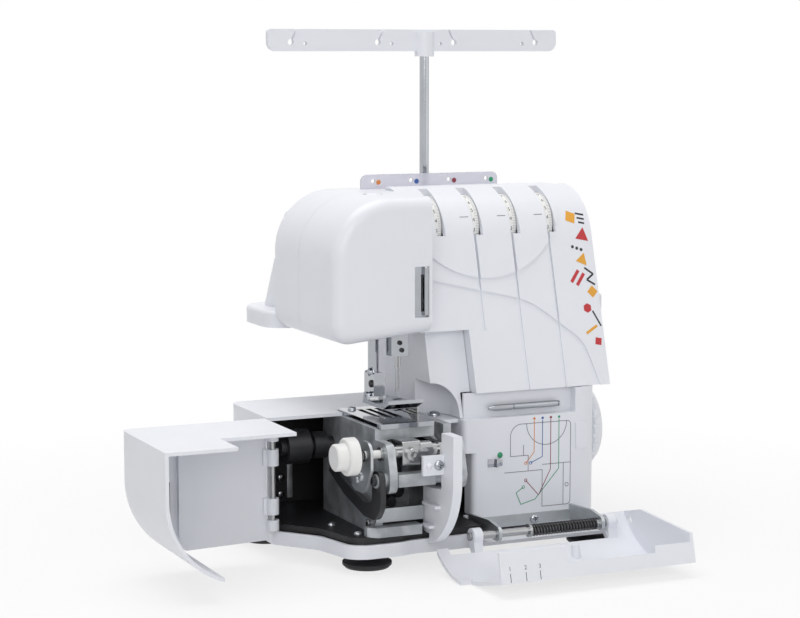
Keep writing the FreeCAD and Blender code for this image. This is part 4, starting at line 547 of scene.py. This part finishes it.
def facing(place, right, way):
    """Matrix that lays a flat mark at a place, its X to the right and its front towards a direction."""
    up = Vector(way).cross(Vector(right))
    turn = Matrix((right, up, way)).transposed().to_4x4()
    return Matrix.Translation(place) @ turn


# Operators

class OVERLOCK_OT_finish_cad(bpy.types.Operator):
    """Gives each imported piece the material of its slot"""
    bl_idname = "overlock.finish_cad"
    bl_label = "Packed pieces"

    def execute(self, context):
        make_materials(context.scene.overlock_finish)
        for part in frame["record"]["subparts"]:
            piece = NODES[part["node"]]
            material = MATERIALS[part["material_slot"]]
            if not piece.material_slots:
                piece.data.materials.append(material)
            for place in piece.material_slots:
                place.material = material
        return {"FINISHED"}


class OVERLOCK_OT_screws(bpy.types.Operator):
    """Models one screw of each kind and sets its copies where the machine is screwed together"""
    bl_idname = "overlock.screws"
    bl_label = "Screws"

    # Kind, piece it sits on, body, finish, place in millimetres, way it faces, radius in millimetres
    PLACES = (
        ("cross", "door_latch", "door", "zinc", (-190, 2, 45), FORWARD, 2.8),
        ("cross", "knife_bracket", "machine", "zinc", (-63, -51.5, 71.5), LEFT, 3.2),
        ("dome", "knife_bracket", "machine", "zinc", (-63, -45, 68), LEFT, 2.2),
        ("socket", "lower_knife", "lower_blade", "steel", (-31, -67, 88), FORWARD, 4.6),
        ("socket", "knife_arm", "knife", "dark_steel", (-58, -64, 70), LEFT, 3.4),
        ("dome", "cover_bracket", "machine", "white_shell", (-23.6, -80, 81), FORWARD, 2.4),
        ("cross", "cover_bracket", "machine", "chrome", (-16, -80, 81), FORWARD, 3.6),
        ("cross", "looper_bed", "machine", "chrome", (-50, -20, 44), LEFT, 3),
        ("cross", "looper_bed", "machine", "steel", (-50, 12, 62), LEFT, 3.6),
        ("socket", "looper_bed", "machine", "steel", (-50, -36, 34), LEFT, 2.8),
        ("cross", "frame_casting", "machine", "zinc", (-60, -38, 27), UP, 3),
        ("cross", "frame_casting", "machine", "chrome", (-66, -3, 27), UP, 3.2),
        ("slot", "needle_plate", "machine", "chrome", (-39, 21, 107), UP, 3.2),
        ("slot", "bed_cover", "machine", "chrome", (22.9, 9.6, 100), UP, 4.6),
        ("slot", "bed_cover", "machine", "chrome", (15, 1, 100), UP, 3),
        ("slot", "presser_bar", "presser", "chrome", (-28, 14, 135), LEFT, 3.1),
        ("cross", "presser_bar", "presser", "dark_steel", (-28, 10, 127), LEFT, 2.8),
        ("cross", "hinge_bracket", "machine", "chrome", (90.3, -24, 21.5), FORWARD, 3.4),
        ("cross", "frame_casting", "machine", "chrome", (-70, 87, 46), FORWARD, 3.1),
        ("cross", "frame_casting", "machine", "chrome", (-70, 87, 33), FORWARD, 3.1),
        ("socket", "needle_clamp", "needle", "dark_steel", (-11, -3, 158), FORWARD, 1.7),
        ("socket", "needle_clamp", "needle", "dark_steel", (-9.4, -3, 152.5), FORWARD, 1.7),
        ("cross", "rear_housing", "machine", "zinc", (-52, 88, 176), -FORWARD, 3.4),
        ("cross", "rear_housing", "machine", "zinc", (145, 88, 252), -FORWARD, 3.4),
        ("cross", "rear_housing", "machine", "zinc", (145, 88, 118), -FORWARD, 3.4),
        ("cross", "rear_housing", "machine", "zinc", (24, 88, 118), -FORWARD, 3.4),
        ("cross", "belt_cover", "machine", "zinc", (149, 84, 100), -LEFT, 3),
        ("cross", "belt_cover", "machine", "zinc", (149, 6, 30), -LEFT, 3),
    )

    def execute(self, context):
        masters = {
            "cross": self.cross(), "slot": self.slotted(), "socket": self.socket(), "dome": self.dome(),
        }
        for index, (kind, node, body, slot, place, way, radius) in enumerate(self.PLACES, start=1):
            turn = 0.7 * index
            screw = laid(masters[kind], seat(node, place, way), way, radius * MM, turn)
            finish_piece(screw, "screw_%02d_%s" % (index, node), body, slot)
        for master in masters.values():
            bpy.data.objects.remove(master)
        return {"FINISHED"}

    def head(self):
        """Pan head of radius 1 that stands a little into what carries it."""
        return spun([
            (0, -0.05), (1, -0.05), (1, 0.22), (0.95, 0.36), (0.82, 0.5), (0.55, 0.6), (0, 0.64),
        ], 36)

    def blade(self, turn):
        cutter = begin("cube", size=1, location=(0, 0, 0.55), rotation=(0, 0, turn))
        cutter.scale = (1.15, 0.24, 0.5)
        pick(cutter, "faces", lambda face: face.normal.z < -0.5)
        bpy.ops.transform.resize(value=(0.6, 0.6, 1))
        settle(cutter)
        return cutter

    def cross(self):
        return carved(carved(self.head(), self.blade(0)), self.blade(math.pi / 2))

    def slotted(self):
        cutter = begin("cube", size=1, location=(0, 0, 0.62))
        cutter.scale = (3, 0.22, 0.5)
        pick(cutter, "faces", lambda face: face.normal.z < -0.5)
        bpy.ops.mesh.inset(thickness=0.01)
        settle(cutter)
        return carved(self.head(), cutter)

    def socket(self):
        """Cap screw with a hexagon socket."""
        cap = spun([(0, -0.05), (1, -0.05), (1, 0.62), (0.9, 0.72), (0, 0.72)], 36)
        key = begin("cylinder", vertices=6, radius=0.55, depth=0.9, location=(0, 0, 0.72))
        pick(key, "faces", lambda face: face.normal.z < -0.5)
        bpy.ops.mesh.inset(thickness=0.06)
        settle(key)
        return carved(cap, key)

    def dome(self):
        return spun([
            (0, -0.05), (1, -0.05), (1, 0.15), (0.93, 0.38), (0.72, 0.6), (0.4, 0.73), (0, 0.77),
        ], 36)


class OVERLOCK_OT_dial_marks(bpy.types.Operator):
    """Prints numbers and fine lines round the rims of the four tension dials"""
    bl_idname = "overlock.dial_marks"
    bl_label = "Dial marks"

    def execute(self, context):
        marks = context.scene.overlock_marks
        for index, node in enumerate(DIALS, start=1):
            low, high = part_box(node)
            middle = (low + high) / 2
            radius = (high.z - low.z) / 2
            width = high.x - low.x
            pieces = [
                self.digit(str(value), marks, middle - Vector((width * 0.22, 0, 0)), radius)
                for value in range(1, marks.digit_count + 1)
            ]
            finish_piece(joined(pieces), "dial_%d_numbers" % index, "dial_%d" % index, "dial_plastic", "ink")
            lines = self.ticks(marks, middle + Vector((width * 0.2, 0, 0)), radius, width * 0.42)
            finish_piece(lines, "dial_%d_lines" % index, "dial_%d" % index, "dial_plastic", "grey")
        return {"FINISHED"}

    def digit(self, text, marks, middle, radius):
        """Number on the rim; the middle one of the row faces forward and up."""
        row_tilt = math.radians(34)
        tilt = row_tilt + (int(text) - (marks.digit_count + 1) / 2) * marks.digit_step
        way = Vector((0, -math.cos(tilt), math.sin(tilt)))
        return number(text, marks.digit, facing(middle + way * radius, Vector((1, 0, 0)), way))

    def ticks(self, marks, middle, radius, wide):
        piece = begin("cube", size=1, location=middle + Vector((0, -radius, 0)))
        piece.scale = (wide, 0.05 * MM, 0.22 * MM)
        settle(piece)
        pick(piece, "edges", lambda edge: all(vert.co.y < middle.y - radius for vert in edge.verts))
        bpy.ops.mesh.bevel(offset=0.02 * MM, segments=1)
        bpy.ops.mesh.select_all(action="SELECT")
        bpy.ops.mesh.spin(steps=marks.tick_count, angle=2 * math.pi, center=middle, axis=(1, 0, 0),
                          dupli=True)
        bpy.ops.mesh.select_all(action="SELECT")
        bpy.ops.mesh.remove_doubles(threshold=1e-6)
        bpy.ops.mesh.normals_make_consistent(inside=False)
        return piece


class OVERLOCK_OT_index_lines(bpy.types.Operator):
    """Prints the short line that each dial is read against"""
    bl_idname = "overlock.index_lines"
    bl_label = "Index lines"

    def execute(self, context):
        marks = context.scene.overlock_marks
        height = 247
        long = 7
        beside_dial = 6.5
        lines = []
        for node in DIALS:
            low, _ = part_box(node)
            lines.append(bar(low.x / MM - beside_dial, height, long, marks.line / MM))
        press(lines, "front_housing", "dial_index_lines", "white_shell", "grey", marks.coat)
        return {"FINISHED"}


class OVERLOCK_OT_panel_print(bpy.types.Operator):
    """Prints a plain pattern of squares, triangles, stripes and dots on the right of the front panel"""
    bl_idname = "overlock.panel_print"
    bl_label = "Panel print"

    def execute(self, context):
        coat = context.scene.overlock_marks.coat
        yellow = [
            bar(141, 244, 7.5, 7.5, 0.35),
            disc(146, 212, 5.6, corners=3, turn=0.4),
            bar(151.5, 188, 6.4, 6.4, 0.785),
            bar(147, 160, 11, 2, -0.5),
        ]
        red = [
            disc(148.5, 230, 6.4, corners=3, turn=2.3),
            bar(138, 200, 11, 2.6, -0.9),
            bar(142.5, 197.5, 11, 2.6, -0.9),
            disc(145.5, 176, 3.6, corners=6),
            bar(151.5, 151, 5.2, 5.2, 0.2),
        ]
        black = [bar(149.5, 246 - 3.2 * step, 7 - step, 1.3, 0.2) for step in range(3)]
        black += [disc(139 + 3.6 * step, 222 - 1.2 * step, 1.2) for step in range(3)]
        black += [
            line_between((147, 206), (154, 201), 1.4),
            line_between((154, 201), (148, 197), 1.4),
            line_between((148, 197), (154.6, 193), 1.4),
            bar(152.5, 168, 13, 1.3, 1.1),
        ]
        for name, ink, shapes in (("yellow", "yellow", yellow), ("red", "red", red), ("black", "ink", black)):
            press(shapes, "front_housing", "panel_print_" + name, "white_shell", ink, coat)
        return {"FINISHED"}


class OVERLOCK_OT_guide_dots(bpy.types.Operator):
    """Marks each thread's place on the guide plate with a coloured dot"""
    bl_idname = "overlock.guide_dots"
    bl_label = "Guide plate dots"

    def execute(self, context):
        radius = context.scene.overlock_marks.dot
        low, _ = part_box("thread_guide_plate")
        first = 1
        pitch = 32
        beside_hole = 4.5
        above_edge = 5
        master = spun([(0, -0.02), (1, -0.02), (1, 0.06), (0.92, 0.1), (0, 0.1)], 28)
        for step, ink in enumerate(("orange", "blue", "wine", "green")):
            place = (first + pitch * step + beside_hole, low.y / MM, low.z / MM + above_edge)
            dot = laid(master, seat("thread_guide_plate", place, FORWARD), FORWARD, radius)
            finish_piece(dot, "guide_dot_" + ink, "machine", "clear_plastic", ink)
        bpy.data.objects.remove(master)
        return {"FINISHED"}


class OVERLOCK_OT_guide_bar(bpy.types.Operator):
    """Adds the polished thread guide bar under the front housing, with its groove and two legs"""
    bl_idname = "overlock.guide_bar"
    bl_label = "Guide bar"

    def execute(self, context):
        radius = context.scene.overlock_marks.guide_bar / MM
        neck = radius * 0.7
        start = Vector((54.6, -17.6, 107))
        long = 60
        groove = 20
        rod = spun([
            (0, 0), (radius * 0.45, 0), (radius, 5), (radius, groove - 0.8), (neck, groove - 0.4),
            (neck, groove + 0.4), (radius, groove + 0.8), (radius, long - 3), (neck, long - 2.6),
            (neck, long - 1.8), (radius, long - 1.4), (radius * 0.8, long), (0, long),
        ], 32)
        along = Vector((1, 0, 0))
        pieces = [laid(rod, start * MM, along, MM)]
        leg = spun([(0, -6), (1.3, -6), (1.3, 0), (0, 0)], 20)
        for share in (0.24, 0.82):
            top = seat("base_front_panel", start + along * long * share, FORWARD)
            pieces.append(laid(leg, top + FORWARD * 5 * MM, FORWARD, MM))
        for master in (rod, leg):
            bpy.data.objects.remove(master)
        finish_piece(joined(pieces), "thread_guide_bar", "machine", "chrome")
        return {"FINISHED"}


class OVERLOCK_OT_chart(bpy.types.Operator):
    """Prints a plain threading chart on the base panel: thin outlines and four coloured thread lines"""
    bl_idname = "overlock.chart"
    bl_label = "Threading chart"

    def execute(self, context):
        marks = context.scene.overlock_marks
        line = marks.line / MM
        outline = [
            ((80, 94), (119, 94)), ((122, 91), (122, 33)), ((119, 30), (98, 30)), ((98, 30), (98, 58)),
            ((71, 70), (71, 85)), ((71, 70), (86, 70)), ((66, 58), (98, 58)), ((98, 62), (122, 62)),
            ((116, 62), (116, 30)), ((82, 70), (82, 78)), ((86, 58), (86, 70)),
        ]
        thin = [line_between(start, end, line) for start, end in outline]
        thin.append(arc_band(80, 85, 9, line, math.pi / 2, math.pi / 2))
        thin.append(arc_band(119, 91, 3, line, 0, math.pi / 2))
        thin.append(arc_band(119, 33, 3, line, -math.pi / 2, math.pi / 2))
        thin.append(arc_band(101.5, 94, 17, line, math.pi, math.pi))
        thin.append(arc_band(119, 45, 1.4, line, 0, 2 * math.pi))
        press(thin, "base_front_panel", "chart_outline", "white_shell", "grey", marks.coat)
        threads = (
            ("orange", 91, [((91, 96), (91, 72)), ((91, 72), (84, 64))]),
            ("blue", 98, [((98, 96), (98, 68)), ((98, 68), (88, 64))]),
            ("wine", 105, [((105, 96), (105, 58)), ((105, 58), (95, 39)), ((95, 39), (84, 51))]),
            ("green", 112, [((112, 96), (112, 58)), ((112, 58), (92, 36)), ((92, 36), (80, 33)),
                            ((80, 33), (76, 42)), ((76, 42), (82, 46))]),
        )
        for ink, x, runs in threads:
            shapes = [line_between(start, end, line * 1.25) for start, end in runs]
            shapes.append(disc(x, 97.4, 1.0, corners=20))
            end = runs[-1][1]
            shapes.append(arc_band(end[0], end[1], 1.1, line, 0, 2 * math.pi))
            press(shapes, "base_front_panel", "chart_thread_" + ink, "white_shell", ink, marks.coat)
        return {"FINISHED"}


class OVERLOCK_OT_panel_fittings(bpy.types.Operator):
    """Adds the looper thread clip and the green mark beside it on the base panel"""
    bl_idname = "overlock.panel_fittings"
    bl_label = "Panel fittings"

    def execute(self, context):
        mark = spun([(0, -0.02), (1, -0.02), (1, 0.1), (0.8, 0.2), (0, 0.24)], 28)
        dot = laid(mark, seat("base_front_panel", (62.3, -22, 72), FORWARD), FORWARD, 2.2 * MM)
        bpy.data.objects.remove(mark)
        finish_piece(dot, "green_mark", "machine", "white_shell", "green")
        clip = self.clip(seat("base_front_panel", (54.5, -22, 66.5), FORWARD))
        finish_piece(clip, "thread_clip", "machine", "chrome")
        return {"FINISHED"}

    def clip(self, spot):
        """Bent sheet clip: a foot on the panel, a step outwards and a tongue that the thread slips behind."""
        thick = 0.8
        piece = begin("cube", size=1, location=spot + FORWARD * thick / 2 * MM)
        piece.scale = (5 * MM, thick * MM, 6 * MM)
        settle(piece)
        right_end = spot.x + 2.5 * MM
        for step in ((1.2, -2.4, 0), (4.5, 0, 1.2)):
            pick(piece, "faces", lambda face: face.calc_center_median().x > right_end - 0.01 * MM)
            bpy.ops.mesh.extrude_region_move(
                TRANSFORM_OT_translate={"value": Vector(step) * MM})
            right_end += step[0] * MM
        return softened(piece, 0.25, 2)


class OVERLOCK_OT_head_channel(bpy.types.Operator):
    """Adds the polished strip in the slot of the head, and the wire hook beside it"""
    bl_idname = "overlock.head_channel"
    bl_label = "Head thread channel"

    def execute(self, context):
        spot = seat("take_up_cover", (-0.9, -24.5, 200), FORWARD)
        strip = begin("cube", size=1, location=spot + FORWARD * 1.4 * MM + Vector((0.2 * MM, 0, -2 * MM)))
        strip.scale = (3.4 * MM, 2.8 * MM, 36 * MM)
        settle(strip)
        pick(strip, "faces", lambda face: face.normal.y < -0.5)
        bpy.ops.mesh.inset(thickness=0.9 * MM)
        bpy.ops.transform.translate(value=FORWARD * 1.2 * MM)
        finish_piece(softened(strip, 0.3, 3), "head_thread_strip", "machine", "chrome")
        self.hook()
        return {"FINISHED"}

    def hook(self):
        """Thin wire bent into a loop, its ends in the housing."""
        root = seat("face_cover", (4, -12, 205), -LEFT)
        path = ((-1, 0, 0), (1.2, -1.5, 0.5), (2.2, -5, -1), (3.2, -8.5, -9), (2.8, -5.5, -10.5),
                (0.9, -3, -6), (-1, -1.5, -4))
        curve = bpy.data.curves.new("hook", "CURVE")
        curve.dimensions = "3D"
        curve.bevel_depth = 0.5 * MM
        curve.bevel_resolution = 3
        spline = curve.splines.new("NURBS")
        spline.points.add(len(path) - 1)
        for point, step in zip(spline.points, path):
            point.co = (*(root + Vector(step) * MM), 1)
        spline.order_u = 3
        spline.use_endpoint_u = True
        wire = bpy.data.objects.new("hook", curve)
        bpy.context.scene.collection.objects.link(wire)
        only(wire)
        bpy.ops.object.convert(target="MESH")
        finish_piece(bpy.context.object, "head_wire_hook", "machine", "chrome")


class OVERLOCK_OT_cover_marks(bpy.types.Operator):
    """Prints the short scale on the looper cover's lip: lines with numbers over them"""
    bl_idname = "overlock.cover_marks"
    bl_label = "Cover scale"

    def execute(self, context):
        marks = context.scene.overlock_marks
        node = NODES["front_cover"]
        pieces = []
        for step, x in enumerate((3, 15, 26), start=1):
            start = Vector((x, -190, 18)) * MM
            found, spot, way, _ = node.ray_cast(start, -FORWARD, distance=0.2)
            if not found:
                raise RuntimeError("no lip of the cover at x %s mm" % x)
            frame_of = facing(spot, Vector((1, 0, 0)), way)
            pieces.append(self.tick(frame_of @ Matrix.Translation((0, -3.5 * MM, 0)), marks))
            raised = frame_of @ Matrix.Translation((0, 2.6 * MM, 0))
            pieces.append(number(str(step), marks.digit, raised))
        finish_piece(joined(pieces), "cover_scale", "cover", "white_shell", "ink")
        return {"FINISHED"}

    def tick(self, frame_of, marks):
        piece = begin("cube", size=1)
        piece.scale = (marks.line, 6 * MM, 2 * marks.coat)
        settle(piece)
        pick(piece, "edges", lambda edge: all(vert.co.z > 0 for vert in edge.verts))
        bpy.ops.mesh.bevel(offset=0.03 * MM, segments=1)
        only(piece)
        piece.data.transform(frame_of)
        return piece


class OVERLOCK_OT_wall_strip(bpy.types.Operator):
    """Adds the pressed steel strip that is screwed to the back wall behind the open door"""
    bl_idname = "overlock.wall_strip"
    bl_label = "Wall strip"

    def execute(self, context):
        thick = 1.8
        wide = 4.5
        foot = seat("frame_casting", (-63, 87, 34), FORWARD)
        piece = begin("cube", size=1, location=foot + FORWARD * thick / 2 * MM)
        piece.scale = (wide * MM, thick * MM, 8 * MM)
        settle(piece)
        top = foot.z + 4 * MM
        for across, rise in ((0, 22), (5, 9), (1, 8)):
            pick(piece, "faces", lambda face: face.calc_center_median().z > top - 0.01 * MM)
            bpy.ops.mesh.extrude_region_move(TRANSFORM_OT_translate={"value": (across * MM, 0, rise * MM)})
            top += rise * MM
        finish_piece(softened(piece, 0.5, 2), "wall_strip", "machine", "casting")
        return {"FINISHED"}


class OVERLOCK_OT_hinge_spring(bpy.types.Operator):
    """Winds the looper cover's return spring where the imported spring piece stood, and hides that piece"""
    bl_idname = "overlock.hinge_spring"
    bl_label = "Hinge spring"

    def execute(self, context):
        marks = context.scene.overlock_marks
        low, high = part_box("cover_spring")
        middle = (low + high) / 2
        long = high.x - low.x
        wire = marks.spring_wire / 2
        coil_radius = (high.z - low.z) / 2 - wire
        wire_sides = 12
        steps_per_turn = 28
        piece = begin("circle", vertices=wire_sides, radius=wire, rotation=(math.pi / 2, 0, 0),
                      location=(wire, 0, coil_radius))
        settle(piece)
        winding = piece.modifiers.new("winding", "SCREW")
        winding.axis = "X"
        winding.iterations = marks.spring_turns
        winding.screw_offset = (long - 2 * wire) / marks.spring_turns
        winding.steps = steps_per_turn
        apply_all(piece)
        bpy.ops.object.mode_set(mode="EDIT")
        bpy.ops.mesh.select_all(action="SELECT")
        bpy.ops.mesh.fill_holes(sides=0)
        bpy.ops.mesh.select_all(action="SELECT")
        bpy.ops.mesh.normals_make_consistent(inside=False)
        only(piece)
        piece.location = (low.x, middle.y, middle.z)
        finish_piece(piece, "hinge_spring", "machine", "dark_steel")
        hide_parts("cover_spring")
        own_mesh(piece)
        return {"FINISHED"}


def light(name, power, width, place, aim):
    """Adds one large soft area light that points at the machine."""
    lamp = bpy.data.lights.new(name, "AREA")
    lamp.shape = "SQUARE"
    lamp.size = width
    lamp.energy = power
    holder = bpy.data.objects.new(name, lamp)
    holder.location = place
    holder.rotation_euler = (aim - Vector(place)).to_track_quat("-Z", "Y").to_euler()
    bpy.context.scene.collection.objects.link(holder)


class OVERLOCK_OT_stage(bpy.types.Operator):
    """Adds the floor, the light, the world and the camera"""
    bl_idname = "overlock.stage"
    bl_label = "Stage"

    # Light, the value that sets its power, width and place in metres
    LIGHTS = (
        ("key_light", "key_power", 1.2, (-0.75, -1.9, 0.95)),
        ("fill_light", "fill_power", 1.4, (1.5, -1.2, 0.8)),
        ("top_light", "top_power", 1.6, (-0.2, 0.1, 1.8)),
    )

    def execute(self, context):
        stage = context.scene.overlock_stage
        floor = begin("plane", size=2 * stage.floor_half)
        floor.name = "floor"
        floor.data.materials.append(self.floor_material())
        middle = (CAD_BOX[0] + CAD_BOX[1]) / 2
        for name, power, width, place in self.LIGHTS:
            light(name, getattr(stage, power), width, place, middle)
        self.make_world(stage.ambient)
        self.make_camera(stage)
        context.scene.view_settings.view_transform = "Standard"
        return {"FINISHED"}

    def floor_material(self):
        # White paper sweep: seen near white, whiter with distance, and it keeps part of the machine's shadow.
        material, tree = blank("paper_sweep")
        where = add(tree, "ShaderNodeTexCoord", {}).outputs["Object"]
        fibre = add(tree, "ShaderNodeTexNoise", {"Vector": where, "Scale": cells(4), "Detail": 3.0})
        tone = add(tree, "ShaderNodeMix", {
            "Factor": fibre, "A": opaque(linear("#F6F6F6")), "B": opaque(linear("#F2F2F2")),
        }, data_type="RGBA")
        paper = add(tree, "ShaderNodeBsdfDiffuse", {"Color": tone})
        glow = add(tree, "ShaderNodeEmission", {"Color": opaque((1, 1, 1)), "Strength": 1.0})
        away = add(tree, "ShaderNodeVectorMath", {0: where}, operation="LENGTH").outputs["Value"]
        share = add(tree, "ShaderNodeMapRange", {
            "Value": away, "From Min": 0.2, "From Max": 0.6, "To Min": 0.72, "To Max": 1.0,
        })
        seen = add(tree, "ShaderNodeMath", {0: share, 1: self.seen_directly(tree)}, operation="MULTIPLY")
        shader = add(tree, "ShaderNodeMixShader", {0: seen, 1: paper, 2: glow})
        add(tree, "ShaderNodeOutputMaterial", {"Surface": shader})
        return material

    def seen_directly(self, tree):
        """1 for the camera's own rays and for those that metal and clear pieces send on."""
        path = add(tree, "ShaderNodeLightPath", {}).outputs
        shiny = add(tree, "ShaderNodeMath", {0: path["Is Camera Ray"], 1: path["Is Glossy Ray"]},
                    operation="MAXIMUM")
        return add(tree, "ShaderNodeMath", {0: shiny, 1: path["Is Transmission Ray"]}, operation="MAXIMUM")

    def make_world(self, ambient):
        world = bpy.data.worlds.new("studio")
        world.use_nodes = True
        tree = world.node_tree
        tree.nodes.clear()
        soft = add(tree, "ShaderNodeBackground", {"Color": opaque((1, 1, 1)), "Strength": ambient})
        white = add(tree, "ShaderNodeBackground", {"Color": opaque((1, 1, 1)), "Strength": 1.0})
        choice = add(tree, "ShaderNodeMixShader", {0: self.seen_directly(tree), 1: soft, 2: white})
        add(tree, "ShaderNodeOutputWorld", {"Surface": choice})
        bpy.context.scene.world = world

    def make_camera(self, stage):
        data = bpy.data.cameras.new("camera")
        data.lens = stage.lens
        data.sensor_width = 36
        camera = bpy.data.objects.new("camera", data)
        level = math.cos(stage.camera_drop)
        way = Vector((math.sin(stage.camera_turn) * level, math.cos(stage.camera_turn) * level,
                      -math.sin(stage.camera_drop)))
        camera.location = stage.camera_place
        camera.rotation_euler = way.to_track_quat("-Z", "Y").to_euler()
        bpy.context.scene.collection.objects.link(camera)
        bpy.context.scene.camera = camera


STEPS = (
    OVERLOCK_OT_finish_cad,
    OVERLOCK_OT_screws,
    OVERLOCK_OT_dial_marks,
    OVERLOCK_OT_index_lines,
    OVERLOCK_OT_panel_print,
    OVERLOCK_OT_guide_dots,
    OVERLOCK_OT_guide_bar,
    OVERLOCK_OT_chart,
    OVERLOCK_OT_panel_fittings,
    OVERLOCK_OT_head_channel,
    OVERLOCK_OT_cover_marks,
    OVERLOCK_OT_wall_strip,
    OVERLOCK_OT_hinge_spring,
    OVERLOCK_OT_stage,
)


class OVERLOCK_PT_panel(bpy.types.Panel):
    """Lists the steps that dress the machine, and their values"""
    bl_idname = "OVERLOCK_PT_panel"
    bl_label = "Overlock machine"
    bl_space_type = "VIEW_3D"
    bl_region_type = "UI"
    bl_category = "Overlock"

    def draw(self, context):
        for step in STEPS:
            self.layout.operator(step.bl_idname)
        scene = context.scene
        for group in (scene.overlock_finish, scene.overlock_marks, scene.overlock_stage):
            box = self.layout.box()
            for name in group.bl_rna.properties.keys():
                if name not in ("rna_type", "name"):
                    box.prop(group, name)


CLASSES = (OverlockFinish, OverlockMarks, OverlockStage, *STEPS, OVERLOCK_PT_panel)


def register():
    for each in CLASSES:
        bpy.utils.register_class(each)
    bpy.types.Scene.overlock_finish = PointerProperty(type=OverlockFinish)
    bpy.types.Scene.overlock_marks = PointerProperty(type=OverlockMarks)
    bpy.types.Scene.overlock_stage = PointerProperty(type=OverlockStage)


def unregister():
    del bpy.types.Scene.overlock_stage
    del bpy.types.Scene.overlock_marks
    del bpy.types.Scene.overlock_finish
    for each in reversed(CLASSES):
        bpy.utils.unregister_class(each)


def main():
    register()
    for step in STEPS:
        family, name = step.bl_idname.split(".")
        getattr(getattr(bpy.ops, family), name)()


if __name__ == "__main__":
    main()
